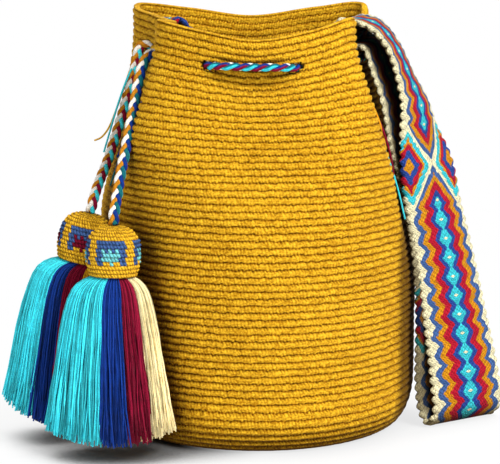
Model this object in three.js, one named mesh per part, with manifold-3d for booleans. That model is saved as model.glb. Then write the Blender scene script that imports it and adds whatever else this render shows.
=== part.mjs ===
// Crocheted bucket bag: a ribbed wall whose mouth folds in at both sides, a woven shoulder strap,
// a braided drawstring threaded through eyelets, and two tassels on the tails of the drawstring.
// Millimetres, +Z up. The front faces -Y, and the folds of the mouth lie at -X and +X.
// Origin: the centre of the flat base, on the surface that the bag stands on.
import * as THREE from 'three';
import { mergeVertices } from 'three/addons/utils/BufferGeometryUtils.js';
import Module from 'manifold-3d';

const { degToRad, euclideanModulo, lerp, smoothstep } = THREE.MathUtils;

// Bag
const BELLY_RADIUS = 120;
const RIM_HEIGHT = 312;
const HEEL_WIDTH = 18;
const HEEL_HEIGHT = 36;
const WALL = 5;
const ROUNDS = 61;
const ROUND_RIDGE = 1.6;
const RIM_ROLL = 1.8;
const FOLD_TOP = 0.98;
const DROOP_FROM = 0.6;
const COLUMN_STEP = 17;

// Drawstring and its eyelets
const CORD_DIAMETER = 6.6;
const CORD_SIDES = 8;
const CORD_STEPS = 80;
const EYELET_DROP = 22.5;
const EYELET_WIDTH = 25;
const EYELET_SIDES = 10;
const EYELET_PLAY = 2.6;
const GROOVE_BRIDGE = 0.35;
const EYELET_ANGLES = [212, 248.5, 286, 333.5, 383, 414.8, 438.5, 466, 490, 527];

// Shoulder strap and the loose yarns of its sewn ends
const STRAP_WIDTH = 67;
const STRAP_THICKNESS = 3.6;
const STRAP_SPANS = 3;
const STRAP_STEPS = 3;
const SEAM_DROP = 3;
const LEFT_SEAM_ANGLE = 189;
const RIGHT_SEAM_ANGLE = 350;
const LEFT_SEAM_HEIGHT = 10;
const LEFT_SEAM_TILT = 8;
const STRAP_BEND = 4.5;
const RIGHT_SEAM_TILT = 7;
const RIGHT_SEAM_HEIGHT = 5.5;
const YARN_BUNDLE = 6;
const YARN_TAPER = 0.4;
const LEFT_YARN_FOOT = 0.6;
const RIGHT_YARN_FOOT = 0.56;

// Tassels
const CAP_RADIUS = 19.6;
const CAP_HEIGHT = 37;
const CAP_MOUTH_RADIUS = 17;
const CAP_WALL = 2.8;
const SKIRT_LENGTH = 120;
const FRONT_HALF_WIDTH = 48;
const BACK_HALF_WIDTH = 36;
const FRONT_BOW = 2.5;
const BACK_BOW = 9.5;
const SKIRT_HALF_DEPTH = 25;
const SKIRT_FLUTE = 1.6;
const HANK_PARTING = 3.2;
const HANK_COLUMNS = 5;
const TASSEL_SIDES = 14;

// Room left between neighbours that touch
const CLEARANCE = 0.4;

// Outline of the mouth, counter-clockwise from the right groove: angle in degrees, radius as a share of the
// belly's, and the heights where the wall starts to fold and where the rim ends, as shares of the rim's height.
const MOUTH = [
  { angle: 17, radius: 0.64, from: 0.5, rim: 0.955 },
  { angle: 33, radius: 0.84, from: 0.7, rim: 0.968 },
  { angle: 43, radius: 0.96, from: 0.72, rim: 1.003 },
  { angle: 62, radius: 0.86, from: 0.62, rim: 0.99 },
  { angle: 93, radius: 0.78, from: 0.5, rim: 0.967 },
  { angle: 122, radius: 0.88, from: 0.62, rim: 0.988 },
  { angle: 142, radius: 0.995, from: 0.72, rim: 1.004 },
  { angle: 152, radius: 0.91, from: 0.66, rim: 0.997 },
  { angle: 167, radius: 0.705, from: 0.54, rim: 0.99 },
  { angle: 198, radius: 0.58, from: 0.5, rim: 0.985 },
  { angle: 212, radius: 0.7, from: 0.6, rim: 0.993 },
  { angle: 222, radius: 0.825, from: 0.72, rim: 1.0 },
  { angle: 245, radius: 0.805, from: 0.62, rim: 0.98 },
  { angle: 268, radius: 0.77, from: 0.5, rim: 0.96 },
  { angle: 294, radius: 0.785, from: 0.62, rim: 0.98 },
  { angle: 314, radius: 0.81, from: 0.72, rim: 1.005 },
  { angle: 325, radius: 0.71, from: 0.6, rim: 0.993 },
  { angle: 342, radius: 0.54, from: 0.36, rim: 0.955 },
];

const wasm = await Module();
wasm.setup();

const UP = new THREE.Vector3(0, 0, 1);
const BASE_RADIUS = BELLY_RADIUS - HEEL_WIDTH;
const HEEL_ARC = (Math.PI / 2) * Math.sqrt((HEEL_WIDTH ** 2 + HEEL_HEIGHT ** 2) / 2);
const WALL_LENGTH = HEEL_ARC + RIM_HEIGHT - HEEL_HEIGHT;
const CORD_RADIUS = CORD_DIAMETER / 2;

// Point in the bag's own measure: x and y in belly radii, z in rim heights.
const inBag = (x, y, z) => new THREE.Vector3(x * BELLY_RADIUS, y * BELLY_RADIUS, z * RIM_HEIGHT);

// Share of the way up the wall at a height above the heel.
const wayUp = (height) => 1 - (RIM_HEIGHT - height) / WALL_LENGTH;

// Value of one field of the mouth at an angle: a cubic between two points of the outline, with the slope
// at each point taken across its neighbours.
function mouthValue(angle, field) {
  const first = MOUTH[0].angle;
  const turned = euclideanModulo(angle - first, 360) + first;
  const before = MOUTH.findLastIndex((point) => point.angle <= turned);
  const knots = [-1, 0, 1, 2].map((step) => {
    const index = before + step;
    const turns = Math.floor(index / MOUTH.length);
    const point = MOUTH[index - turns * MOUTH.length];
    return { angle: point.angle + 360 * turns, value: point[field] };
  });
  const [a, b, c, d] = knots;
  const span = c.angle - b.angle;
  const t = (turned - b.angle) / span;
  const slopeB = (span * (c.value - a.value)) / (c.angle - a.angle);
  const slopeC = (span * (d.value - b.value)) / (d.angle - b.angle);
  const rise = t * t * (3 - 2 * t);
  return lerp(b.value, c.value, rise) + t * (1 - t) * (slopeB * (1 - t) - slopeC * t);
}

// Upright profile of the wall: a quarter ellipse for the heel, then straight up.
function profileAt(way) {
  const along = way * WALL_LENGTH;
  if (along >= HEEL_ARC) return { radius: BELLY_RADIUS, height: HEEL_HEIGHT + along - HEEL_ARC };
  const turn = (Math.PI / 2) * (along / HEEL_ARC);
  return { radius: BASE_RADIUS + HEEL_WIDTH * Math.sin(turn), height: HEEL_HEIGHT * (1 - Math.cos(turn)) };
}

// Mean outer surface of the wall. The round section slides into the mouth's outline as it rises, and the
// rounds droop towards the rim's low places.
function wallSurface(angle, way) {
  const { radius, height } = profileAt(way);
  const level = height / RIM_HEIGHT;
  const fold = smoothstep(level, mouthValue(angle, 'from'), FOLD_TOP);
  const reach = lerp(radius, mouthValue(angle, 'radius') * BELLY_RADIUS, fold);
  const droop = (mouthValue(angle, 'rim') - 1) * RIM_HEIGHT * smoothstep(level, DROOP_FROM, 1);
  const turn = degToRad(angle);
  return new THREE.Vector3(reach * Math.cos(turn), reach * Math.sin(turn), height + droop);
}

// Outward normal of the wall.
function wallNormal(angle, way) {
  const nudge = 0.5;
  const rise = 0.004;
  const low = Math.max(0, way - rise);
  const high = Math.min(1, way + rise);
  const round = wallSurface(angle + nudge, way).sub(wallSurface(angle - nudge, way));
  const up = wallSurface(angle, high).sub(wallSurface(angle, low));
  return round.cross(up).normalize();
}

// Point that stands off the wall by a distance, outwards where it is positive.
function offWall(angle, way, distance) {
  return wallSurface(angle, way).addScaledVector(wallNormal(angle, way), distance);
}

// Closed skin over a row of rings that all have the same number of points, with a fan over each end.
function skin(rings, startCentre, endCentre) {
  const count = rings[0].length;
  const points = [...rings.flat(), startCentre, endCentre];
  const start = points.length - 2;
  const end = points.length - 1;
  const index = [];
  rings.forEach((ring, row) => {
    ring.forEach((point, column) => {
      const next = (column + 1) % count;
      const [a, b] = [row * count + column, row * count + next];
      if (row === 0) index.push(start, b, a);
      if (row === rings.length - 1) index.push(end, a, b);
      else index.push(a, b, b + count, a, b + count, a + count);
    });
  });
  const geometry = new THREE.BufferGeometry().setFromPoints(points);
  geometry.setIndex(index);
  geometry.computeVertexNormals();
  return geometry;
}

// Middle of a ring of points.
function middleOf(ring) {
  const sum = ring.reduce((total, point) => total.add(point), new THREE.Vector3());
  return sum.divideScalar(ring.length);
}

// Three.js geometry to a solid that can be cut, by its corners alone.
function toSolid(geometry) {
  const bare = new THREE.BufferGeometry();
  bare.setAttribute('position', geometry.getAttribute('position'));
  bare.setIndex(geometry.getIndex());
  const merged = mergeVertices(bare, 1e-4);
  return new wasm.Manifold(new wasm.Mesh({
    numProp: 3,
    vertProperties: Float32Array.from(merged.getAttribute('position').array),
    triVerts: Uint32Array.from(merged.getIndex().array),
  }));
}

// Cut solid back to a three.js geometry.
function toGeometry(solid) {
  const mesh = solid.getMesh();
  const geometry = new THREE.BufferGeometry();
  geometry.setAttribute('position', new THREE.BufferAttribute(mesh.vertProperties, 3));
  geometry.setIndex(new THREE.BufferAttribute(mesh.triVerts, 1));
  geometry.computeVertexNormals();
  return geometry;
}

// Angles of the wall's columns: every point of the mouth's outline, and even steps between them.
function columnAngles() {
  return MOUTH.flatMap((point, index) => {
    const next = index + 1 < MOUTH.length ? MOUTH[index + 1].angle : MOUTH[0].angle + 360;
    const steps = Math.ceil((next - point.angle) / COLUMN_STEP);
    return Array.from({ length: steps }, (unused, step) => lerp(point.angle, next, step / steps));
  });
}

// Bag body: each round of crochet is a valley and a crest up the outside, the rim rolls over, and the inside
// is the same wall one thickness in. The eyelets are cut last.
function bagBody() {
  const columns = columnAngles();
  const ringAt = (way, distance) => columns.map((angle) => offWall(angle, way, distance));
  const rings = [];
  for (let half = 0; half <= 2 * ROUNDS; half += 1) {
    const way = half / (2 * ROUNDS);
    const grown = smoothstep(way * WALL_LENGTH, 0, HEEL_ARC / 3);
    rings.push(ringAt(way, (half % 2 ? 0.5 : -0.5) * ROUND_RIDGE * grown));
  }
  rings.push(ringAt(1, -WALL / 2).map((point) => point.addScaledVector(UP, RIM_ROLL)));
  const insideWays = [1, 0.95, 0.9, 0.85, 0.78, 0.7, 0.6, 0.48, 0.34, 0.2, 0.1, 0.04];
  insideWays.forEach((way) => rings.push(ringAt(way, -WALL)));
  const shell = skin(rings, new THREE.Vector3(), new THREE.Vector3(0, 0, WALL));

  const way = wayUp(RIM_HEIGHT - EYELET_DROP);
  return EYELET_ANGLES.reduce((solid, angle) => {
    const normal = wallNormal(angle, way);
    const back = new THREE.Vector3().crossVectors(normal, UP).normalize();
    const rise = new THREE.Vector3().crossVectors(back, normal);
    const cutter = new THREE.CylinderGeometry(1, 1, 4 * WALL, EYELET_SIDES);
    cutter.applyMatrix4(new THREE.Matrix4().makeBasis(
      back.multiplyScalar(EYELET_WIDTH / 2),
      normal,
      rise.multiplyScalar(CORD_RADIUS + EYELET_PLAY),
    ));
    const centre = offWall(angle, way, -WALL / 2);
    cutter.translate(centre.x, centre.y, centre.z);
    return solid.subtract(toSolid(cutter));
  }, toSolid(shell));
}

// Route of the drawstring: up the front tail into the left groove, round the mouth out of one eyelet and into
// the next, out of the left groove again and down the back tail.
const FRONT_TAIL = [
  inBag(-0.665, -0.42, 0.92), inBag(-0.705, -0.452, 0.897), inBag(-0.733, -0.488, 0.858),
  inBag(-0.756, -0.535, 0.808), inBag(-0.782, -0.59, 0.756), inBag(-0.81, -0.65, 0.7),
  inBag(-0.838, -0.72, 0.645), inBag(-0.857, -0.78, 0.597),
];
const BACK_TAIL = [
  inBag(-0.745, 0.155, 0.92), inBag(-0.775, 0.135, 0.887), inBag(-0.805, 0.1, 0.836),
  inBag(-0.848, 0.04, 0.776), inBag(-0.9, -0.05, 0.71), inBag(-0.95, -0.17, 0.65),
  inBag(-1.0, -0.33, 0.602),
];

// Places of the tassels' heads on the tails, the lean of each tassel and the turn of its wide side.
const FRONT_HEAD = inBag(-0.871, -0.862, 0.542);
const BACK_HEAD = inBag(-1.04, -0.46, 0.543);
const FRONT_LEAN = new THREE.Euler(degToRad(-5), degToRad(1.2), 0);
const BACK_LEAN = new THREE.Euler(degToRad(-3), degToRad(12.4), 0);

// Points of the whole route. A run outside the wall lies against it, level from one eyelet to the next.
function drawstringRoute() {
  const way = wayUp(RIM_HEIGHT - EYELET_DROP);
  const stand = CORD_RADIUS + ROUND_RIDGE / 2 + 2 * CLEARANCE;
  const points = [];
  const last = EYELET_ANGLES.length - 1;
  EYELET_ANGLES.forEach((angle, index) => {
    points.push(offWall(angle, way, -WALL / 2));
    if (index === last) return;
    const next = EYELET_ANGLES[index + 1];
    const inside = index % 2 === 0;
    const distance = inside ? -WALL - stand : stand;
    const ends = [offWall(angle, way, distance), offWall(next, way, distance)];
    [0.18, 0.5, 0.82].forEach((share) => {
      const straight = ends[0].clone().lerp(ends[1], share);
      const place = lerp(angle, next, share);
      const against = offWall(place, way, distance);
      const nearer = Math.hypot(straight.x, straight.y) < Math.hypot(against.x, against.y);
      if (nearer === inside) against.lerp(straight, inside ? 1 : GROOVE_BRIDGE);
      else if (!inside) against.copy(offWall(place, way + (straight.z - against.z) / WALL_LENGTH, distance));
      points.push(against);
    });
  });
  return [...FRONT_TAIL.slice().reverse(), ...points, ...BACK_TAIL];
}

// Drawstring: a tube along its route, which meets each tassel's cap square on.
function drawstring() {
  const above = (head, lean, height) => UP.clone().multiplyScalar(height).applyEuler(lean).add(head);
  const route = [
    above(FRONT_HEAD, FRONT_LEAN, CLEARANCE),
    above(FRONT_HEAD, FRONT_LEAN, CORD_DIAMETER),
    ...drawstringRoute(),
    above(BACK_HEAD, BACK_LEAN, CORD_DIAMETER),
    above(BACK_HEAD, BACK_LEAN, CLEARANCE),
  ];
  const section = new THREE.Shape();
  for (let side = 0; side < CORD_SIDES; side += 1) {
    const turn = (2 * Math.PI * side) / CORD_SIDES;
    section[side ? 'lineTo' : 'moveTo'](CORD_RADIUS * Math.cos(turn), CORD_RADIUS * Math.sin(turn));
  }
  const path = new THREE.CatmullRomCurve3(route);
  return new THREE.ExtrudeGeometry(section, { steps: CORD_STEPS, extrudePath: path, bevelEnabled: false });
}

// Angle at which a band of the strap's width that starts at one angle of the wall ends, going round one way.
function bandEnd(start, way, direction) {
  const from = wallSurface(start, way);
  const step = 0.25;
  let angle = start;
  while (wallSurface(angle, way).distanceTo(from) < STRAP_WIDTH) angle += direction * step;
  return angle;
}

// One cross line of the strap: its near edge, middle and far edge.
function crossLine(near, middle, far) {
  return { near, middle, far };
}

// Cross line that lies along the wall at a height, off it by a distance. Its near edge is raised by a lift, and
// its far edge by a tilt less than that.
function onWall(near, far, way, distance, lift, tilt = 0) {
  const [a, b, c] = [0, 0.5, 1].map(
    (share) => offWall(lerp(near, far, share), way, distance).addScaledVector(UP, lift - tilt * share),
  );
  return crossLine(a, b, c);
}

// Cross line that hangs free: level, from its near edge towards a heading in degrees from +Y to +X, with its
// middle bowed out by a cup.
function hanging(near, heading, cup) {
  const turn = degToRad(heading);
  const across = new THREE.Vector3(Math.sin(turn), Math.cos(turn), 0);
  const bow = new THREE.Vector3(Math.cos(turn), -Math.sin(turn), 0);
  const middle = near.clone().addScaledVector(across, STRAP_WIDTH / 2).addScaledVector(bow, cup);
  return crossLine(near, middle, near.clone().addScaledVector(across, STRAP_WIDTH));
}

// Cross lines of the strap from its left seam inside the bag over the mouth, down the right side to the floor
// and back up to its right seam.
function strapLines() {
  const [leftNear, rightNear] = [LEFT_SEAM_ANGLE, RIGHT_SEAM_ANGLE];
  const leftFar = bandEnd(leftNear, 1, -1);
  const rightFar = bandEnd(rightNear, 1, 1);
  const inside = -WALL - STRAP_THICKNESS / 2 - 3 * CLEARANCE;
  const bend = inside - STRAP_BEND;
  const outside = STRAP_THICKNESS / 2 + ROUND_RIDGE / 2 + 2 * CLEARANCE;
  const rimLift = RIM_ROLL + STRAP_THICKNESS / 2 + 2 * CLEARANCE;
  const seamTop = wayUp(RIM_HEIGHT - SEAM_DROP);
  const leftFoot = wayUp(RIM_HEIGHT - SEAM_DROP - LEFT_SEAM_HEIGHT);
  const rightFoot = wayUp(RIM_HEIGHT - SEAM_DROP - RIGHT_SEAM_HEIGHT);
  return [
    onWall(leftNear, leftFar, leftFoot, inside, 0),
    onWall(leftNear, leftFar, seamTop, inside, 0, LEFT_SEAM_TILT / 2),
    onWall(leftNear, leftFar, 1, bend, RIM_ROLL, LEFT_SEAM_TILT),
    hanging(inBag(-0.42, -0.1, 0.965), -17, 0),
    hanging(inBag(-0.31, -0.105, 0.937), -11, 0),
    hanging(inBag(-0.16, -0.108, 0.905), -5, 0),
    hanging(inBag(0, -0.11, 0.89), 0, 0),
    hanging(inBag(0.16, -0.108, 0.892), 5, 0),
    hanging(inBag(0.31, -0.105, 0.915), 8, 0),
    hanging(inBag(0.43, -0.102, 0.95), 10, 0),
    onWall(rightNear, rightFar, 1, -WALL / 2, rimLift + RIGHT_SEAM_TILT, RIGHT_SEAM_TILT),
    hanging(inBag(0.7, -0.1, 0.967), 10, 0),
    hanging(inBag(0.81, -0.108, 0.916), 10, 1),
    hanging(inBag(0.878, -0.13, 0.831), 14, 3),
    hanging(inBag(0.898, -0.15, 0.78), 20, 4),
    hanging(inBag(0.89, -0.19, 0.715), 28, 4),
    hanging(inBag(0.89, -0.25, 0.638), 39.5, 4),
    hanging(inBag(0.915, -0.315, 0.537), 43.5, 4),
    hanging(inBag(0.971, -0.32, 0.439), 45, 4),
    hanging(inBag(1.043, -0.31, 0.26), 50.5, 4),
    hanging(inBag(1.095, -0.32, 0.11), 56, 4),
    hanging(inBag(1.11, -0.33, 0.035), 57, 2),
    hanging(inBag(1.068, -0.335, 0.0085), 57, 0),
    hanging(inBag(1.025, -0.335, 0.034), 56, -2),
    hanging(inBag(1.0, -0.335, 0.1), 54, -4),
    hanging(inBag(0.995, -0.34, 0.3), 48, -4),
    hanging(inBag(0.958, -0.325, 0.45), 44, -3),
    hanging(inBag(0.88, -0.24, 0.6), 37, -2),
    hanging(inBag(0.815, -0.18, 0.7), 29.5, -1),
    hanging(inBag(0.772, -0.14, 0.79), 25, 0),
    hanging(inBag(0.712, -0.115, 0.86), 21, 0),
    hanging(inBag(0.645, -0.1, 0.922), 18, 0),
    onWall(rightNear, rightFar, rightFoot, outside, 0),
    onWall(rightNear, rightFar, seamTop, outside, 0),
  ];
}

// Shoulder strap: a band of even thickness through the cross lines.
function shoulderStrap() {
  const lines = strapLines();
  const [near, middle, far] = ['near', 'middle', 'far'].map(
    (edge) => new THREE.CatmullRomCurve3(lines.map((line) => line[edge])),
  );
  const steps = STRAP_STEPS * (lines.length - 1);
  const bandPoint = (along, across) => {
    const edge = near.getPoint(along).multiplyScalar((1 - across) * (1 - 2 * across));
    edge.addScaledVector(middle.getPoint(along), 4 * across * (1 - across));
    return edge.addScaledVector(far.getPoint(along), across * (2 * across - 1));
  };
  const facing = (along, across) => {
    const nudge = 0.002;
    const ahead = bandPoint(Math.min(1, along + nudge), across);
    ahead.sub(bandPoint(Math.max(0, along - nudge), across));
    const over = bandPoint(along, Math.min(1, across + nudge));
    over.sub(bandPoint(along, Math.max(0, across - nudge)));
    return ahead.cross(over).normalize();
  };
  const rings = [];
  for (let step = 0; step <= steps; step += 1) {
    const along = step / steps;
    const edge = (across, side) => bandPoint(along, across).addScaledVector(
      facing(along, across),
      (side * STRAP_THICKNESS) / 2,
    );
    const shares = Array.from({ length: STRAP_SPANS + 1 }, (unused, index) => index / STRAP_SPANS);
    rings.push([
      ...shares.map((across) => edge(across, -1)),
      ...shares.toReversed().map((across) => edge(across, 1)),
    ]);
  }
  return skin(rings, middleOf(rings[0]), middleOf(rings.at(-1)));
}

// Loose yarns that hang from a seam of the strap, close to the wall: one tapering bundle.
function yarnBundle(top, foot, angles) {
  const points = angles.map((angle, index) => {
    const height = lerp(top, foot, index / (angles.length - 1));
    return offWall(angle, wayUp(height), (YARN_BUNDLE + ROUND_RIDGE) / 2 + CLEARANCE);
  });
  const curve = new THREE.CatmullRomCurve3(points);
  const steps = 3 * (points.length - 1);
  const frames = curve.computeFrenetFrames(steps);
  const rings = frames.tangents.map((tangent, step) => {
    const share = step / steps;
    const radius = (YARN_BUNDLE / 2) * lerp(1, YARN_TAPER, share);
    const middle = curve.getPointAt(share);
    return Array.from({ length: CORD_SIDES }, (unused, side) => {
      const turn = (2 * Math.PI * side) / CORD_SIDES;
      return middle.clone()
        .addScaledVector(frames.normals[step], radius * Math.cos(turn))
        .addScaledVector(frames.binormals[step], radius * Math.sin(turn));
    });
  });
  return skin(rings, middleOf(rings[0]), middleOf(rings.at(-1)));
}

// Yarns of the left seam come out through the wall at its foot, and those of the right seam under the cord.
function leftYarns() {
  const top = RIM_HEIGHT - SEAM_DROP - LEFT_SEAM_HEIGHT - 2 * CLEARANCE;
  return yarnBundle(top, LEFT_YARN_FOOT * RIM_HEIGHT, [188, 192, 196, 199, 201, 203]);
}

function rightYarns() {
  const top = RIM_HEIGHT - EYELET_DROP - CORD_DIAMETER - YARN_BUNDLE;
  return yarnBundle(top, RIGHT_YARN_FOOT * RIM_HEIGHT, [341, 333, 328.5, 328.5, 331, 336]);
}

// Tassel cap: a domed cup, open below, that hangs down from the cord at its top.
function tasselCap() {
  const outer = [
    [0, 0], [0.42, 0.02], [0.74, 0.1], [0.94, 0.27], [1, 0.5], [0.97, 0.76],
  ].map(([out, down]) => new THREE.Vector2(out * CAP_RADIUS, -down * CAP_HEIGHT));
  const lip = new THREE.Vector2(CAP_MOUTH_RADIUS, -CAP_HEIGHT);
  const inner = [[1, 0.76], [1, 0.5], [0.88, 0.3], [0.6, 0.18], [0, 0.13]].map(
    ([out, down]) => new THREE.Vector2(out * (CAP_MOUTH_RADIUS - CAP_WALL), -down * CAP_HEIGHT),
  );
  const mouth = new THREE.Vector2(CAP_MOUTH_RADIUS - CAP_WALL, -CAP_HEIGHT);
  const profile = [...outer, lip, mouth, ...inner].reverse();
  return new THREE.LatheGeometry(profile, TASSEL_SIDES).rotateX(Math.PI / 2);
}

// Hank of yarn of one colour: a wedge of the tassel's bell between two angles, fluted outside. The bell bows
// out to the left below the cap.
function hank(fromAngle, toAngle, halfWidth, bow) {
  const half = degToRad(toAngle - fromAngle) / 2;
  const bisector = degToRad(fromAngle + toAngle) / 2;
  const retreat = CLEARANCE / Math.sin(Math.min(half, Math.PI / 2));
  const headRadius = CAP_MOUTH_RADIUS - CAP_WALL - CLEARANCE;
  const levels = [
    [-0.11, 0, 0], [0.008, 0, 0], [0.05, 0.36, 0.75], [0.2, 0.56, 0.94], [0.55, 0.8, 0.58], [1, 1, 0],
  ];
  const rings = levels.map(([down, spread, bowed]) => {
    const width = lerp(headRadius, halfWidth, spread);
    const depth = lerp(headRadius, SKIRT_HALF_DEPTH, spread);
    const corner = new THREE.Vector3(
      retreat * Math.cos(bisector) - bow * bowed,
      retreat * Math.sin(bisector),
      -CAP_HEIGHT - down * SKIRT_LENGTH,
    );
    const arc = Array.from({ length: HANK_COLUMNS }, (unused, column) => {
      const share = column / (HANK_COLUMNS - 1);
      const angle = degToRad(lerp(fromAngle + HANK_PARTING, toAngle - HANK_PARTING, share));
      const flute = (column % 2 ? 0 : -1) * SKIRT_FLUTE * spread - CLEARANCE;
      return new THREE.Vector3(
        (width + flute - retreat) * Math.cos(angle),
        (depth + flute - retreat) * Math.sin(angle),
        0,
      ).add(corner);
    });
    return [corner, ...arc];
  }).reverse();
  return skin(rings, middleOf(rings[0]), middleOf(rings.at(-1)));
}

// Finishes
const MUSTARD = 0xc98618;
const TURQUOISE = 0x1f9aa3;
const BLUE = 0x2f4f9c;
const CRIMSON = 0x9c1b38;
const CREAM = 0xdcd2b8;

function piece(name, geometry, color, roughness = 0.95) {
  const mesh = new THREE.Mesh(geometry, new THREE.MeshStandardMaterial({ color, roughness, metalness: 0 }));
  mesh.name = name;
  return mesh;
}

// Tassel in its own frame: the cord enters at the origin, and the skirt hangs along -Z.
function tassel(name, head, lean, halfWidth, bow, hanks) {
  const group = new THREE.Group();
  group.name = name;
  group.add(piece(`${name}_cap`, tasselCap(), MUSTARD));
  hanks.forEach(({ colour, color, from, to }) => {
    group.add(piece(`${name}_${colour}_yarn`, hank(from, to, halfWidth, bow), color));
  });
  group.position.copy(head);
  group.rotation.copy(lean);
  return group;
}

const bag = new THREE.Group();
bag.name = 'crochet_bucket_bag';
bag.add(piece('bag_body', toGeometry(bagBody()), MUSTARD));
bag.add(piece('drawstring', drawstring(), TURQUOISE, 0.9));
bag.add(piece('shoulder_strap', shoulderStrap(), BLUE, 0.9));
bag.add(piece('strap_yarns_left', leftYarns(), CRIMSON));
bag.add(piece('strap_yarns_right', rightYarns(), TURQUOISE));
bag.add(tassel('front_tassel', FRONT_HEAD, FRONT_LEAN, FRONT_HALF_WIDTH, FRONT_BOW, [
  { colour: 'mustard', color: MUSTARD, from: 20, to: 160 },
  { colour: 'turquoise', color: TURQUOISE, from: 160, to: 263 },
  { colour: 'blue', color: BLUE, from: 263, to: 289 },
  { colour: 'crimson', color: CRIMSON, from: 289, to: 316 },
  { colour: 'cream', color: CREAM, from: 316, to: 380 },
]));
bag.add(tassel('back_tassel', BACK_HEAD, BACK_LEAN, BACK_HALF_WIDTH, BACK_BOW, [
  { colour: 'cream', color: CREAM, from: 20, to: 100 },
  { colour: 'turquoise', color: TURQUOISE, from: 100, to: 248 },
  { colour: 'blue', color: BLUE, from: 248, to: 274 },
  { colour: 'crimson', color: CRIMSON, from: 274, to: 305 },
  { colour: 'mustard', color: MUSTARD, from: 305, to: 380 },
]));

export default bag;
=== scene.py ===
"""Crocheted bucket bag with a woven strap, a braided drawstring and two yarn tassels.

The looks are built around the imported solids, in metres, +Z up, with the bag's front towards -Y.
"""

import logging
import math
from collections.abc import Callable, Sequence
from dataclasses import dataclass, field
from enum import Enum
from typing import ClassVar, TypeAlias

import bpy
import numpy as np
from numpy.typing import NDArray
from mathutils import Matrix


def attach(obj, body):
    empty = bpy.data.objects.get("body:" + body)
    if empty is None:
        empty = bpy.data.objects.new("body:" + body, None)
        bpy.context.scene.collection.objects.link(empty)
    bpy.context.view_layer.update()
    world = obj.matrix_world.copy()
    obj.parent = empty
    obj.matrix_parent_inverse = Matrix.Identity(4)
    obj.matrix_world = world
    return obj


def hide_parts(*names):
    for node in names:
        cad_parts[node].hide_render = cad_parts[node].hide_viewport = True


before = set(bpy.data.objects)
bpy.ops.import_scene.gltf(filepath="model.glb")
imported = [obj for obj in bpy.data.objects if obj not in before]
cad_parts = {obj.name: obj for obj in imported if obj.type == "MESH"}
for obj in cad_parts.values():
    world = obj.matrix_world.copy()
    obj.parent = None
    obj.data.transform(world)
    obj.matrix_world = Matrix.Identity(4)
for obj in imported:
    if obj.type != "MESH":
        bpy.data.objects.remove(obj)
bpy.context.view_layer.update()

Array = NDArray[np.float64]
Index = NDArray[np.int64]
Cells = NDArray[np.bool_]
Node = bpy.types.Node
Material = bpy.types.Material
Piece = bpy.types.Object
Colour = tuple[float, float, float, float]
Feed: TypeAlias = "Wire | float | Sequence[float]"

LOG = logging.getLogger("crochet_bag")
MM = 0.001
UP = np.array([0.0, 0.0, 1.0])
STITCH_UV = "stitches"
DYE = "dye"
CONTACT = "contact"
PURE_WHITE = (1.0, 1.0, 1.0, 1.0)

# Outline of the mouth, counter-clockwise from the right groove: angle in degrees, radius in belly radii, and
# the heights where the wall starts to fold and where the rim ends, in rim heights.
MOUTH = np.array([
    (17, 0.64, 0.5, 0.955), (33, 0.84, 0.7, 0.968), (43, 0.96, 0.72, 1.003), (62, 0.86, 0.62, 0.99),
    (93, 0.78, 0.5, 0.967), (122, 0.88, 0.62, 0.988), (142, 0.995, 0.72, 1.004), (152, 0.91, 0.66, 0.997),
    (167, 0.705, 0.54, 0.99), (198, 0.58, 0.5, 0.985), (212, 0.7, 0.6, 0.993), (222, 0.825, 0.72, 1.0),
    (245, 0.805, 0.62, 0.98), (268, 0.77, 0.5, 0.96), (294, 0.785, 0.62, 0.98), (314, 0.81, 0.72, 1.005),
    (325, 0.71, 0.6, 0.993), (342, 0.54, 0.36, 0.955),
])


class Dye(Enum):
    """Colours of the yarns, in sRGB steps of 255."""

    MUSTARD = (226, 170, 34)
    GOLD = (253, 199, 46)
    IVORY = (250, 241, 196)
    TURQUOISE = (62, 206, 219)
    CYAN = (124, 223, 230)
    TEAL = (24, 98, 106)
    BLUE = (20, 52, 128)
    ROYAL = (44, 76, 158)
    STEEL = (70, 104, 164)
    CRIMSON = (126, 18, 46)
    CREAM = (240, 224, 170)
    WHITE = (240, 236, 226)
    RED = (190, 26, 50)
    AMBER = (222, 150, 26)
    OCHRE = (190, 124, 28)

    @property
    def linear(self) -> Colour:
        """Scene-linear colour with full alpha."""
        share = np.array(self.value) / 255
        curve = np.where(share <= 0.04045, share / 12.92, ((share + 0.055) / 1.055) ** 2.4)
        return (*curve.tolist(), 1.0)


def smoothstep(value: Array, low: float | Array, high: float | Array) -> Array:
    """Rise from 0 at low to 1 at high along 3t^2 - 2t^3."""
    t = np.clip((value - low) / (high - low), 0, 1)
    return t * t * (3 - 2 * t)


def bell(value: Array, width: float) -> Array:
    """Bell curve e^(-s^2), with s the value in widths."""
    return np.exp(-((value / width) ** 2))


def unit(vectors: Array) -> Array:
    """Vectors divided by their lengths."""
    return vectors / np.linalg.norm(vectors, axis=-1, keepdims=True)


def square_to(vectors: Array, axis: Array) -> Array:
    """Unit vectors square to an axis, on the side of the given ones."""
    return unit(vectors - (vectors * axis).sum(-1, keepdims=True) * axis)


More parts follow.
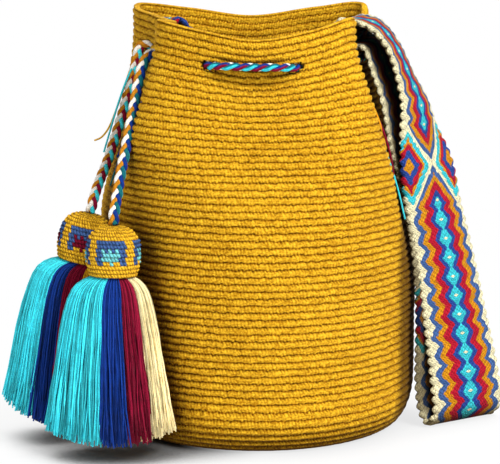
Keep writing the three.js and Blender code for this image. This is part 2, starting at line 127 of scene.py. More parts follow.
def catmull(points: Array, t: Array) -> Array:
    """Centripetal curve through points: a cubic a span, its end slopes weighed by the roots of the chords.

    Args:
        points: Given points, one a row.
        t: Shares of the way from the first point to the last, even by spans.

    Returns:
        One point for each share.
    """
    ends = np.vstack([2 * points[0] - points[1], points, 2 * points[-1] - points[-2]])
    place = np.clip(t, 0, 1) * (len(points) - 1)
    span = np.minimum(place.astype(int), len(points) - 2)
    w = (place - span)[:, None]
    a, b, c, d = (ends[span + k] for k in range(4))
    r0, r1, r2 = (np.sqrt(np.linalg.norm(q - p, axis=1, keepdims=True)) for p, q in ((a, b), (b, c), (c, d)))
    start = ((b - a) / r0 - (c - a) / (r0 + r1) + (c - b) / r1) * r1
    end = ((c - b) / r1 - (d - b) / (r1 + r2) + (d - c) / r2) * r1
    return b + w * start + w**2 * (3 * (c - b) - 2 * start - end) + w**3 * (2 * (b - c) + start + end)


def lengths(line: Array) -> Array:
    """Distance along a line of points, from 0 at its first point."""
    return np.concatenate([[0.0], np.cumsum(np.linalg.norm(np.diff(line, axis=0), axis=1))])


def evenly(points: Array, step: float) -> Array:
    """Points an even step apart along the centripetal curve through a few points."""
    fine = catmull(points, np.linspace(0, 1, 40 * len(points)))
    along = lengths(fine)
    at = np.linspace(0, along[-1], round(along[-1] / step) + 1)
    return np.stack([np.interp(at, along, column) for column in fine.T], axis=1)


def ring_quads(rows: int, columns: int) -> Index:
    """Corner numbers of the quads between closed rings, by row and column: along the ring, then up."""
    i, j = np.meshgrid(np.arange(rows - 1), np.arange(columns), indexing="ij")
    k = (j + 1) % columns
    return np.stack([i * columns + j, i * columns + k, (i + 1) * columns + k, (i + 1) * columns + j], -1)


def ring_uv(across: Array, up: Array) -> Array:
    """Pattern coordinates of the same quads: across has one value more than a ring has points."""
    i, j = np.meshgrid(np.arange(up.shape[-1] - 1), np.arange(len(across) - 1), indexing="ij")
    u = np.stack([across[j], across[j + 1], across[j + 1], across[j]], -1)
    v = np.stack([up[..., i], up[..., i], up[..., i + 1], up[..., i + 1]], -1)
    return np.stack(np.broadcast_arrays(u, v), -1)


def new_object(name: str, data: bpy.types.ID) -> Piece:
    """Make an object around a mesh, camera or light and link it to the scene."""
    item = bpy.data.objects.new(name, data)
    bpy.context.scene.collection.objects.link(item)
    return item


@dataclass
class Skin:
    """Surface of one piece, gathered patch by patch. Contact is the shade of each point, where it has one."""

    points: list[Array] = field(default_factory=list)
    faces: list[Index] = field(default_factory=list)
    uv: list[Array] = field(default_factory=list)
    dye: list[Array] = field(default_factory=list)
    contact: Array | None = None

    def place(self, points: Array) -> int:
        """Add points and return the number of the first one."""
        first = sum(len(patch) for patch in self.points)
        self.points.append(points.reshape(-1, 3))
        return first

    def cover(self, faces: Index, uv: Array, dye: Array | None = None) -> None:
        """Add faces with the pattern coordinates and the linear colour of each corner."""
        self.faces.append(faces)
        self.uv.append(uv.reshape(-1, 2))
        if dye is not None:
            self.dye.append(dye.reshape(-1, 4))

    def close(self, rings: int, columns: int, ends: Sequence[tuple[Array, Sequence[float], Array]],
              dye: Array | None = None) -> None:
        """Close the first and the last ring of a stack with triangles to a pole each.

        Args:
            rings: How many rings the stack has, its points placed before all others.
            columns: Points of a ring.
            ends: Pole, its pattern coordinates and those of the ring, for the first ring and the last.
            dye: One linear colour for both ends.
        """
        poles = [self.place(pole[None]) for pole, _, _ in ends]
        first = np.arange(columns)
        for pole, ring, (_, tip, rim) in zip(poles, (first[::-1], (rings - 1) * columns + first), ends):
            faces = np.stack([np.full_like(ring, pole), ring, np.roll(ring, -1)], axis=1)
            centre = np.broadcast_to(np.asarray(tip, float), rim.shape)
            uv = np.stack([centre, rim, np.roll(rim, -1, axis=0)], axis=1)
            self.cover(faces, uv, None if dye is None else np.broadcast_to(dye, (*faces.shape, 4)))

    def tubes(self, paths: Array, radii: Array, sides: int, reference: Array, dye: Array) -> None:
        """Add round strands: a ring is centre + r (cos a N + sin a B), N being square to the path.

        Args:
            paths: Centres by strand and step.
            radii: Radius by strand and step.
            sides: Corners of each ring.
            reference: Direction by strand and step, or one for all.
            dye: Linear colour by strand, or by strand and side.
        """
        count, steps, _ = paths.shape
        tangent = unit(np.gradient(paths, axis=1))
        normal = square_to(np.broadcast_to(reference, paths.shape), tangent)
        binormal = np.cross(tangent, normal)
        turn = 2 * np.pi * np.arange(sides) / sides
        ring = np.cos(turn)[:, None] * normal[:, :, None] + np.sin(turn)[:, None] * binormal[:, :, None]
        first = self.place(paths[:, :, None] + radii[:, :, None, None] * ring)
        tips = self.place(paths[:, [0, -1]])
        strand = np.arange(count)
        start = first + steps * sides * strand[:, None]
        quad = ring_quads(steps, sides).reshape(-1, 4)
        walk = np.linalg.norm(np.diff(paths, axis=1), axis=2).cumsum(axis=1)
        along = np.concatenate([np.zeros((count, 1)), walk], axis=1)
        uv = ring_uv(np.arange(sides + 1) / sides, along)
        by_side = dye if dye.ndim == 3 else np.repeat(dye[:, None], sides, axis=1)
        self.cover((start[:, None] + quad).reshape(-1, 4), uv, by_side[:, quad % sides])
        for end, ring_step in ((0, 0), (1, steps - 1)):
            rim = start + ring_step * sides + np.arange(sides)
            rim = rim if end else rim[:, ::-1]
            tip = np.repeat((tips + 2 * strand + end)[:, None], sides, axis=1)
            cap = np.stack([tip, rim, np.roll(rim, -1, axis=1)], -1).reshape(-1, 3)
            tone = np.repeat(by_side[:, 0], sides, axis=0)[:, None].repeat(3, axis=1)
            self.cover(cap, np.zeros((*cap.shape, 2)), tone)

    def build(self, name: str, finish: Material, slot: str, node: str | None = None) -> Piece:
        """Make the mesh object, at the origin, smooth and riding on the bag.

        Args:
            name: Name of the piece.
            finish: Material of the whole surface.
            slot: Slot that the material would fill; not used.
            node: Solid that the piece replaces, if any.

        Returns:
            The new object.
        """
        mesh = bpy.data.meshes.new(name)
        rows = [row for patch in self.faces for row in patch.tolist()]
        mesh.from_pydata(np.concatenate(self.points).tolist(), [], rows)
        layer = mesh.uv_layers.new(name=STITCH_UV)
        layer.data.foreach_set("uv", np.concatenate(self.uv).astype(np.float32).ravel())
        if self.dye:
            colours = mesh.color_attributes.new(DYE, "FLOAT_COLOR", "CORNER")
            colours.data.foreach_set("color", np.concatenate(self.dye).astype(np.float32).ravel())
        if self.contact is not None:
            mark = mesh.attributes.new(CONTACT, "FLOAT", "POINT")
            mark.data.foreach_set("value", self.contact.astype(np.float32))
        mesh.polygons.foreach_set("use_smooth", np.ones(len(mesh.polygons), bool))
        mesh.materials.append(finish)
        mesh.update()
        piece = new_object(name, mesh)
        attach(piece, "root")
        if node:
            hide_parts(node)
        LOG.info("%s: %d triangles", name, sum(face.shape[0] * (face.shape[1] - 2) for face in self.faces))
        return piece


def sign(operation: str, swapped: bool = False) -> Callable[..., "Wire"]:
    """Method that adds one math node, with its two values swapped where the wire stands on the right."""
    def reckon(wire: "Wire", *other: Feed) -> "Wire":
        """Join the wire and the other value to the node."""
        values = (*other, wire) if swapped else (wire, *other)
        return wire.bench.math(operation, *values)
    return reckon


@dataclass(frozen=True, eq=False)
class Wire:
    """Output of a shader node, with Python's own signs for the nodes that reckon with it."""

    bench: "NodeBench"
    socket: bpy.types.NodeSocket

    __add__ = __radd__ = sign("ADD")
    __mul__ = __rmul__ = sign("MULTIPLY")
    __sub__ = sign("SUBTRACT")
    __rsub__ = sign("SUBTRACT", swapped=True)
    __truediv__ = sign("DIVIDE")
    __mod__ = sign("FLOORED_MODULO")
    __pow__ = sign("POWER")
    __lt__ = sign("LESS_THAN")
    __abs__ = sign("ABSOLUTE")


class NodeBench:
    """Adds nodes to one shader tree and joins their sockets."""

    def __init__(self, tree: bpy.types.NodeTree) -> None:
        """Keep the tree that the nodes go into."""
        self.tree = tree

    def add(self, kind: str, inputs: dict[str | int, Feed] | None = None, **settings: object) -> Node:
        """Add one node.

        Args:
            kind: Blender's name for the kind of node.
            inputs: Values or wires by input name or number.
            **settings: Properties of the node.

        Returns:
            The new node.
        """
        node = self.tree.nodes.new(kind)
        for key, value in settings.items():
            setattr(node, key, value)
        for key, value in (inputs or {}).items():
            if isinstance(value, Wire):
                self.tree.links.new(value.socket, node.inputs[key])
            else:
                node.inputs[key].default_value = value
        return node

    def wire(self, kind: str, inputs: dict[str | int, Feed] | None = None, output: str | int = 0,
             **settings: object) -> Wire:
        """Add one node and return one of its outputs."""
        return Wire(self, self.add(kind, inputs, **settings).outputs[output])

    def group(self, name: str, **inputs: Feed) -> dict[str, Wire]:
        """Place one of the shared groups and return its outputs by name."""
        node = self.add("ShaderNodeGroup", inputs, node_tree=bpy.data.node_groups[name])
        return {socket.name: Wire(self, socket) for socket in node.outputs}

    def math(self, operation: str, *values: Feed) -> Wire:
        """Add one math node and return its result."""
        return self.wire("ShaderNodeMath", dict(enumerate(values)), operation=operation)

    def vector(self, operation: str, *values: Feed, output: str = "Vector") -> Wire:
        """Add one vector math node and return its result."""
        return self.wire("ShaderNodeVectorMath", dict(enumerate(values)), output, operation=operation)

    def parts(self, vector: Feed) -> list[Wire]:
        """The three parts of a vector."""
        return [Wire(self, socket) for socket in self.add("ShaderNodeSeparateXYZ", {0: vector}).outputs]

    def noise(self, place: Feed, scale: Feed, detail: float) -> Wire:
        """Smooth noise from 0 to 1."""
        return self.wire("ShaderNodeTexNoise", {"Vector": place, "Scale": scale, "Detail": detail})

    def mark(self, name: str, output: str) -> Wire:
        """Attribute of the mesh by its name."""
        return self.wire("ShaderNodeAttribute", output=output, attribute_name=name)

    def blend(self, share: Feed, first: Feed, second: Feed, kind: str = "MIX") -> Wire:
        """Mix two colours by a share."""
        inputs = {0: share, 6: first, 7: second}
        return self.wire("ShaderNodeMix", inputs, 2, data_type="RGBA", blend_type=kind)

    def scaled(self, colour: Feed, factor: Feed) -> Wire:
        """Multiply a colour by a number."""
        return self.wire("ShaderNodeVectorMath", {0: colour, "Scale": factor}, operation="SCALE")

    def span(self, value: Feed, source: Sequence[float], target: Sequence[float]) -> Wire:
        """Carry a value smoothly from one range to another."""
        limits = dict(enumerate((value, *source, *target)))
        return self.wire("ShaderNodeMapRange", limits, interpolation_type="SMOOTHSTEP")

    def bands(self, value: Feed, stops: Sequence[tuple[float, Dye]]) -> Wire:
        """Colour by steps: each dye starts at its own value, in rising order."""
        node = self.add("ShaderNodeValToRGB", {0: value})
        ramp = node.color_ramp
        ramp.interpolation = "CONSTANT"
        ramp.elements.remove(ramp.elements[1])
        ramp.elements[0].position = stops[0][0]
        ramp.elements[0].color = stops[0][1].linear
        for start, dye in stops[1:]:
            ramp.elements.new(start).color = dye.linear
        return Wire(self, node.outputs[0])


def fresh_bench(holder: Material | bpy.types.World) -> NodeBench:
    """Empty the shader tree of a material or a world and return a bench for it."""
    holder.use_nodes = True
    holder.node_tree.nodes.clear()
    return NodeBench(holder.node_tree)


class NodeGroup:
    """Shader effect that more than one material uses, as a node group with named inputs and outputs."""

    kinds: ClassVar[dict[str, str]] = {"Coordinates": "NodeSocketVector", "Color": "NodeSocketColor"}

    def __init__(self, name: str, **defaults: float | None) -> None:
        """Start the group with the default of each input; coordinates and colours have none."""
        self.bench = NodeBench(bpy.data.node_groups.new(name, "ShaderNodeTree"))
        for label, default in defaults.items():
            socket = self.socket(label, "INPUT")
            if default is not None:
                socket.default_value = default
        node = self.bench.add("NodeGroupInput")
        self.given = {label: Wire(self.bench, node.outputs[label]) for label in defaults}

    def socket(self, label: str, direction: str) -> bpy.types.NodeTreeInterfaceSocket:
        """Add one socket to the group's face."""
        kind = self.kinds.get(label, "NodeSocketFloat")
        return self.bench.tree.interface.new_socket(label, in_out=direction, socket_type=kind)

    def give(self, **outputs: Wire) -> None:
        """Join the group's outputs."""
        for label in outputs:
            self.socket(label, "OUTPUT")
        self.bench.add("NodeGroupOutput", outputs)


def build_stitch_group() -> None:
    """Rows of stitches with wavy, beaded grooves between the rows and fainter ones between the stitches.

    A stitch is a dome sqrt((1 - |2x|^2 parting)(1 - |2y|^2)), and the rows wander by a smooth noise. The
    painted shade of the grooves is deepest between two stitches.
    """
    group = NodeGroup("stitch_rows", Coordinates=None, Lean=0.5, Parting=0.5, Wander=0.1)
    bench, given = group.bench, group.given
    along, up, _ = bench.parts(given["Coordinates"])
    level = (bench.noise(given["Coordinates"], 0.9, 1.0) - 0.5) * given["Wander"] * 2.0 + up
    row, rise = bench.math("FLOOR", level), bench.math("FRACT", level)
    walk = along + row % 2.0 * 0.5 + (rise - 0.5) * given["Lean"]
    beside = abs(bench.math("FRACT", walk) * 2.0 - 1.0)
    upward = 1.0 - abs(rise * 2.0 - 1.0) ** 2.0
    dome = bench.math("SQRT", (1.0 - beside**2.0 * given["Parting"]) * upward)
    cell = bench.wire("ShaderNodeCombineXYZ", {0: bench.math("FLOOR", walk), 1: row})
    # Share of painted shade in the grooves, greatest between two stitches.
    groove = bench.span(dome, (0.2, 0.85), (1.0, 0.0)) * bench.span(beside, (0.1, 0.9), (0.3, 1.0))
    tint = bench.wire("ShaderNodeTexWhiteNoise", {"Vector": cell}, "Value", noise_dimensions="2D")
    group.give(Height=dome, Groove=groove, Tint=tint)


def build_fibre_group() -> None:
    """Fuzz of spun yarn: fine noise for the fibres and broad noise for uneven dye."""
    group = NodeGroup("yarn_fibre", Fineness=1300.0)
    bench = group.bench
    place = bench.wire("ShaderNodeTexCoord", output="Object")
    fuzz = bench.noise(place, group.given["Fineness"], 2.0)
    patch = bench.noise(place, 22.0, 3.0)
    group.give(Fuzz=bench.span(fuzz, (0.3, 0.7), (0.0, 1.0)), Patch=bench.span(patch, (0.3, 0.7), (0.0, 1.0)))


def build_twist_group() -> None:
    """Plies of a spun yarn: two waves round the yarn, which turn half round it for each lay length."""
    group = NodeGroup("yarn_twist", Coordinates=None, Lay=0.004)
    bench, given = group.bench, group.given
    around, along, _ = bench.parts(given["Coordinates"])
    phase = 2 * math.pi * (2.0 * around + along / given["Lay"])
    group.give(Height=bench.math("SINE", phase) * 0.5 + 0.5)


def build_shade_group() -> None:
    """Shade of cloth that lies close to other pieces or folds in on itself, warm and deep in the gaps."""
    group = NodeGroup("close_shade", Color=None, Distance=0.03, Contact=0.0)
    bench, given = group.bench, group.given
    near = bench.wire("ShaderNodeAmbientOcclusion", {"Distance": given["Distance"]}, "AO", samples=4)
    share = bench.math("MAXIMUM", bench.span(near, (0.42, 0.88), (1.0, 0.0)), given["Contact"])
    group.give(Color=bench.blend(share, given["Color"], (0.14, 0.11, 0.07, 1.0), "MULTIPLY"))


@dataclass(frozen=True)
class YarnCloth:
    """Base of every finish: matte wool or cotton with a soft sheen, raised by a height field."""

    name: str
    roughness: float = 0.95
    sheen: float = 0.02
    relief: float = 1.0 * MM
    strength: float = 0.8

    def paint(self, bench: NodeBench) -> tuple[Wire, Wire]:
        """Colour and height of the surface, which each finish has its own way to make."""
        raise NotImplementedError

    def make(self) -> Material:
        """Make the material around the finish's colour and height."""
        material = bpy.data.materials.new(self.name)
        bench = fresh_bench(material)
        colour, height = self.paint(bench)
        bump = bench.wire("ShaderNodeBump", {
            "Height": height, "Distance": self.relief, "Strength": self.strength,
        })
        shader = bench.wire("ShaderNodeBsdfPrincipled", {
            "Base Color": colour, "Normal": bump, "Roughness": self.roughness, "Sheen Weight": self.sheen,
            "Sheen Roughness": 0.5, "Specular IOR Level": 0.05,
        })
        bench.add("ShaderNodeOutputMaterial", {"Surface": shader})
        return material

    @staticmethod
    def pattern_place(bench: NodeBench) -> Wire:
        """Pattern coordinates of the piece."""
        return bench.wire("ShaderNodeUVMap", uv_map=STITCH_UV)

    @staticmethod
    def shaded(bench: NodeBench, colour: Feed, distance: float) -> Wire:
        """Colour with the shade of what lies close, by distance and by the marks on the piece's points."""
        mark = bench.mark(CONTACT, "Fac")
        return bench.group("close_shade", Color=colour, Distance=distance, Contact=mark)["Color"]


@dataclass(frozen=True)
class CrochetFinish(YarnCloth):
    """Rows of tight stitches with painted shade in the grooves, in one dye or in the dye of each stitch."""

    dye: Dye | None = None
    # Multiplied in by random tone and by painted shade at the edges of each lump.
    shade: Colour = (0.38, 0.25, 0.0, 1.0)
    # Colour of the painted shade in the grooves between rows and stitches.
    groove: Colour = (0.4, 0.22, 0.02, 1.0)
    parting: float = 0.65
    wander: float = 0.16
    # Strength of the painted shade in the grooves.
    depth: float = 1.0
    base: float = 1.16
    lumps: float = 2.0
    closeness: float = 30 * MM

    def paint(self, bench: NodeBench) -> tuple[Wire, Wire]:
        """Painted shade darkens the grooves and the edges of each lump, and each stitch has a tint and fuzz
        of its own.
        """
        place = self.pattern_place(bench)
        stitch = bench.group(
            "stitch_rows", Coordinates=place, Lean=0.6, Parting=self.parting, Wander=self.wander)
        finer = bench.vector("MULTIPLY", place, (1.0, self.lumps, 1.0))
        lump = bench.group("stitch_rows", Coordinates=finer, Lean=0.5, Parting=0.85, Wander=0.3)
        fibre = bench.group("yarn_fibre", Fineness=620.0)
        colour = self.dye.linear if self.dye else bench.mark(DYE, "Color")
        # Tint, fuzz and patches vary the tone at random; the lump height term is painted shade, lighter on
        # each lump's crown and darker at its edges.
        lighter = lump["Tint"] * 0.34 + lump["Height"] * 0.3 + fibre["Fuzz"] * 0.6 + fibre["Patch"] * 0.1
        toned = bench.blend(self.base - lighter, colour, self.shade, "MULTIPLY")
        # Painted shade: the grooves between rows and stitches are darkened.
        dark = bench.blend(stitch["Groove"] * self.depth, toned, self.groove, "MULTIPLY")
        height = (stitch["Height"] + lump["Height"]) * 0.6 + fibre["Fuzz"] * 0.35
        return self.shaded(bench, dark, self.closeness), height


@dataclass(frozen=True)
class TwistFinish(YarnCloth):
    """Loose or plaited yarn in the dye of each strand."""

    strength: float = 0.7
    lay: float = 4.0 * MM

    def paint(self, bench: NodeBench) -> tuple[Wire, Wire]:
        """Plies show as slanting lines: painted shade, lighter on each ply's crest and darker between plies.
        """
        twist = bench.group("yarn_twist", Coordinates=self.pattern_place(bench), Lay=self.lay)["Height"]
        fuzz = bench.group("yarn_fibre", Fineness=1800.0)["Fuzz"]
        # The twist term is painted shade between the plies; the fuzz varies the tone at random.
        level = twist * 0.2 + fuzz * 0.5 + 0.65
        return bench.scaled(bench.mark(DYE, "Color"), level), twist + fuzz * 0.4


@dataclass(frozen=True)
class StrapFinish(YarnCloth):
    """Zigzag bands round a chain of diamonds, broken by crosses with stepped lozenges at both edges."""

    relief: float = 1.1 * MM
    strength: float = 0.9
    half_width: float = 33.5 * MM
    knot: float = 2.3 * MM
    rows: float = 14.0
    zigzag: float = 15.0 * MM
    swing: float = 0.19
    lozenge_at: float = 0.79
    cross_every: float = 0.29
    cross_at: float = 0.0
    # Colour of the painted shade in the gaps between the knots.
    groove: Colour = (0.3, 0.26, 0.25, 1.0)
    closeness: float = 28 * MM
    ground: Sequence[tuple[float, Dye]] = (
        (0.0, Dye.TURQUOISE), (0.22, Dye.ROYAL), (0.37, Dye.RED), (0.57, Dye.AMBER), (0.74, Dye.STEEL),
        (0.9, Dye.IVORY),
    )
    figure: Sequence[tuple[float, Dye]] = (
        (0.0, Dye.AMBER), (0.38, Dye.ROYAL), (0.54, Dye.RED), (0.67, Dye.AMBER), (0.74, Dye.TURQUOISE),
        (0.88, Dye.IVORY),
    )

    def paint(self, bench: NodeBench) -> tuple[Wire, Wire]:
        """Rows of knots follow the bands of the pattern.

        With d the distance from the middle line in half widths, e the distance along from the nearest cross
        and z a triangle wave, the chain's bands follow max(d + swing (1 - z), 0.96 + 1.05 d - 0.95 e / half),
        and the lozenges' bands follow 1 - at + |at - d| + 0.75 e / half, with at the lozenges' distance out.
        """
        along, across, _ = bench.parts(self.pattern_place(bench))
        side = abs(across)
        wave = bench.math("PINGPONG", along, self.zigzag / 2) / (self.zigzag / 2)
        turn = (along + (self.cross_every / 2 - self.cross_at)) % self.cross_every
        reach = abs(turn - self.cross_every / 2) / self.half_width
        band = bench.math("MAXIMUM", side + (1.0 - wave) * self.swing, side * 1.05 - reach * 0.95 + 0.96)
        lozenge = reach * 0.75 + abs(side - self.lozenge_at) + (1.0 - self.lozenge_at)
        in_lozenge = lozenge < 1.0
        value = bench.wire("ShaderNodeMix", {0: in_lozenge, 2: band, 3: lozenge}, data_type="FLOAT")
        grid = bench.wire("ShaderNodeCombineXYZ", {0: along / self.knot, 1: value * self.rows})
        stitch = bench.group("stitch_rows", Coordinates=grid, Lean=0.9, Parting=0.95, Wander=0.1)
        fuzz = bench.group("yarn_fibre", Fineness=1500.0)["Fuzz"]
        jag = stitch["Tint"] * 0.05 - 0.025
        dot = (side + (1.0 - wave) * 0.5 < 0.08) * (band < self.ground[1][0])
        ground = bench.blend(dot, bench.bands(band + jag, self.ground), Dye.IVORY.linear)
        colour = bench.blend(in_lozenge, ground, bench.bands(lozenge + jag, self.figure))
        toned = bench.scaled(colour, stitch["Tint"] * 0.3 + fuzz * 0.4 + 0.7)
        # Painted shade in the gaps between the knots.
        dark = bench.blend(stitch["Groove"] * 0.8, toned, self.groove, "MULTIPLY")
        return self.shaded(bench, dark, self.closeness), stitch["Height"] + fuzz * 0.3


@dataclass(frozen=True)
class BagWall:
    """Mean outer surface of the bag's wall, which every other piece hangs on or passes through."""

    belly_radius: float = 120 * MM
    rim_height: float = 312 * MM
    heel_width: float = 18 * MM
    heel_height: float = 36 * MM
    thickness: float = 5 * MM
    ridge: float = 1.6 * MM
    fold_top: float = 0.98
    droop_from: float = 0.6

    @property
    def base_radius(self) -> float:
        """Radius of the flat base."""
        return self.belly_radius - self.heel_width

    @property
    def heel_arc(self) -> float:
        """Length of the quarter ellipse of the heel."""
        return math.pi / 2 * math.sqrt((self.heel_width**2 + self.heel_height**2) / 2)

    @property
    def length(self) -> float:
        """Length of the wall from the base's edge to the rim."""
        return self.heel_arc + self.rim_height - self.heel_height

    def at(self, x: float, y: float, z: float) -> Array:
        """Point in the bag's own measure: x and y in belly radii, z in rim heights."""
        return np.array([x * self.belly_radius, y * self.belly_radius, z * self.rim_height])

    def way_up(self, height: float | Array) -> float | Array:
        """Share of the way up the wall at a height above the heel."""
        return 1 - (self.rim_height - height) / self.length

    def mouth(self, angle: Array, column: int) -> Array:
        """Mouth's outline at an angle: a cubic between two points, with slopes taken across their neighbours.

        Args:
            angle: Angles in degrees.
            column: Column of the outline.

        Returns:
            One value for each angle.
        """
        turned = np.mod(angle - MOUTH[0, 0], 360) + MOUTH[0, 0]
        before = np.searchsorted(MOUTH[:, 0], turned, side="right") - 1
        index = before[..., None] + np.arange(-1, 3)
        turns = np.floor_divide(index, len(MOUTH))
        near = index - turns * len(MOUTH)
        a, b, c, d = np.moveaxis(MOUTH[near, 0] + 360 * turns, -1, 0)
        p, q, r, s = np.moveaxis(MOUTH[near, column], -1, 0)
        t = (turned - b) / (c - b)
        start = (c - b) * (r - p) / (c - a)
        end = (c - b) * (s - q) / (d - b)
        return q + (r - q) * t * t * (3 - 2 * t) + t * (1 - t) * (start * (1 - t) - end * t)

    def surface(self, angle: Array, way: Array) -> Array:
        """Wall point: a quarter ellipse for the heel, then upright, sliding into the mouth's outline.

        Args:
            angle: Angles in degrees.
            way: Shares of the way from the base's edge to the rim.

        Returns:
            Points.
        """
        angle, way = np.broadcast_arrays(np.asarray(angle, float), np.asarray(way, float))
        along = way * self.length
        turn = np.pi / 2 * np.clip(along / self.heel_arc, 0, 1)
        radius = self.base_radius + self.heel_width * np.sin(turn)
        over = np.maximum(along - self.heel_arc, 0)
        height = self.heel_height * (1 - np.cos(turn)) + over
        level = height / self.rim_height
        fold = smoothstep(level, self.mouth(angle, 2), self.fold_top)
        reach = radius + (self.mouth(angle, 1) * self.belly_radius - radius) * fold
        droop = (self.mouth(angle, 3) - 1) * self.rim_height * smoothstep(level, self.droop_from, 1.0)
        around = np.radians(angle)
        return np.stack([reach * np.cos(around), reach * np.sin(around), height + droop], axis=-1)

    def normal(self, angle: Array, way: Array) -> Array:
        """Outward normal: the way round crossed with the way up."""
        way = np.asarray(way, float)
        low, high = np.maximum(0, way - 0.004), np.minimum(1, way + 0.004)
        round_ = self.surface(angle + 0.5, way) - self.surface(angle - 0.5, way)
        return unit(np.cross(round_, self.surface(angle, high) - self.surface(angle, low)))

    def off(self, angle: Array, way: Array, distance: Array | float) -> Array:
        """Point that stands off the wall, outwards where the distance is positive."""
        away = np.asarray(distance, float)[..., None]
        return self.surface(angle, way) + self.normal(angle, way) * away


@dataclass
class Drawstring:
    """Braided cord: two pairs of strands that turn about two lines side by side and lock in the middle."""

    wall: BagWall
    diameter: float = 6.6 * MM
    eyelet_drop: float = 22.5 * MM
    eyelets: Sequence[float] = (212, 248.5, 286, 333.5, 383, 414.8, 438.5, 466, 490, 527)
    bridge: float = 0.35
    clearance: float = 0.4 * MM
    lay: float = 14.0 * MM
    step: float = 1.0 * MM
    strand: float = 1.72 * MM
    sides: int = 12
    orbit: float = 1.2 * MM
    tail: tuple[float, float] = (0.13, 0.17)
    dyes: Sequence[tuple[Dye, Dye]] = (
        (Dye.WHITE, Dye.WHITE), (Dye.OCHRE, Dye.OCHRE), (Dye.CRIMSON, Dye.BLUE), (Dye.TURQUOISE, Dye.TEAL),
    )

    @property
    def way(self) -> float:
        """Share of the way up the wall at which the eyelets lie."""
        return self.wall.way_up(self.wall.rim_height - self.eyelet_drop)

    def route(self, front: "Tassel", back: "Tassel") -> Array:
        """Points from the front tassel up, round the mouth through the eyelets, and down to the back one."""
        front_tail = [
            (-0.857, -0.78, 0.597), (-0.838, -0.72, 0.645), (-0.81, -0.65, 0.7), (-0.782, -0.59, 0.756),
            (-0.756, -0.535, 0.808), (-0.733, -0.488, 0.858), (-0.705, -0.452, 0.897), (-0.665, -0.42, 0.92),
        ]
        back_tail = [
            (-0.745, 0.155, 0.92), (-0.775, 0.135, 0.887), (-0.805, 0.1, 0.836), (-0.848, 0.04, 0.776),
            (-0.9, -0.05, 0.71), (-0.95, -0.17, 0.65), (-1.0, -0.33, 0.602),
        ]
        stand = self.diameter / 2 + self.wall.ridge / 2 + 2 * self.clearance
        ring = []
        for index, angle in enumerate(self.eyelets):
            ring.append(self.wall.off(angle, self.way, -self.wall.thickness / 2))
            if index + 1 < len(self.eyelets):
                ring.extend(self.span(angle, self.eyelets[index + 1], index % 2 == 0, stand))
        up, down = ([self.wall.at(*place) for place in tail] for tail in (front_tail, back_tail))
        start = [front.above(self.clearance), front.above(self.diameter)]
        end = [back.above(self.diameter), back.above(self.clearance)]
        return np.array([*start, *up, *ring, *down, *end])

    def span(self, angle: float, following: float, inside: bool, stand: float) -> list[Array]:
        """Three points between two eyelets: level along the wall, or straight where that is shorter."""
        distance = -self.wall.thickness - stand if inside else stand
        first, last = (self.wall.off(a, self.way, distance) for a in (angle, following))
        points = []
        for share in (0.18, 0.5, 0.82):
            straight = first + (last - first) * share
            place = angle + (following - angle) * share
            against = self.wall.off(place, self.way, distance)
            nearer = np.hypot(*straight[:2]) < np.hypot(*against[:2])
            if nearer == inside:
                against = against + (straight - against) * (1 if inside else self.bridge)
            elif not inside:
                level = self.way + (straight[2] - against[2]) / self.wall.length
                against = self.wall.off(place, level, distance)
            points.append(against)
        return points

    def facing(self, line: Array) -> Array:
        """Side that the second pair of strands keeps to: to the right on the tails, outwards on the ring."""
        radial = line * np.array([1.0, 1.0, 0.0])
        along = lengths(line)
        on_ring = smoothstep(along, *self.tail) * smoothstep(along[-1] - along, *self.tail)
        on_ring = on_ring[:, None]
        return (1 - on_ring) * np.array([1.0, 0.0, 0.0]) + on_ring * unit(radial + 1e-9)

    def build(self, finish: Material, front: "Tassel", back: "Tassel") -> tuple[Piece, Array]:
        """Strand centres are the path -+ offset, plus a circle of the orbit's radius that turns once a lay.

        Args:
            finish: Material of the strands.
            front: Tassel on the front tail.
            back: Tassel on the back tail.

        Returns:
            The cord and the path that it follows.
        """
        line = evenly(self.route(front, back), self.step)
        tangent = unit(np.gradient(line, axis=0))
        side = square_to(self.facing(line), tangent)
        other = np.cross(tangent, side)
        turn = 2 * np.pi * lengths(line) / self.lay
        paths = []
        for way, start in ((-1, 0.0), (-1, np.pi), (1, np.pi / 2), (1, 3 * np.pi / 2)):
            across = way * (self.orbit - self.orbit * np.cos(turn + start))
            beside = self.orbit * np.sin(turn + start)
            paths.append(line + across[:, None] * side + beside[:, None] * other)
        dye = np.array([[pair[k * 2 // self.sides].linear for k in range(self.sides)] for pair in self.dyes])
        skin = Skin()
        skin.tubes(np.array(paths), np.full((4, len(line)), self.strand), self.sides, side[None], dye)
        return skin.build("drawstring_braid", finish, "braided_cord", "drawstring"), line


@dataclass
class LooseYarn:
    """One thin yarn end that hangs from a seam of the strap, the first of its bundle in place of a solid."""

    name: str
    dye: Dye
    points: Array
    node: str | None = None
    diameter: float = 1.7 * MM
    step: float = 2 * MM
    cut_end: float = 0.8

    def build(self, finish: Material) -> None:
        """A round strand along the yarn's points, thinner at its cut end."""
        line = evenly(self.points, self.step)
        radius = np.linspace(1.0, self.cut_end, len(line))[None] * self.diameter / 2
        skin = Skin()
        skin.tubes(line[None], radius, 6, np.array([0.6, -0.8, 0.1]), np.array([self.dye.linear]))
        piece = skin.build(self.name, finish, "strap_yarn", self.node)


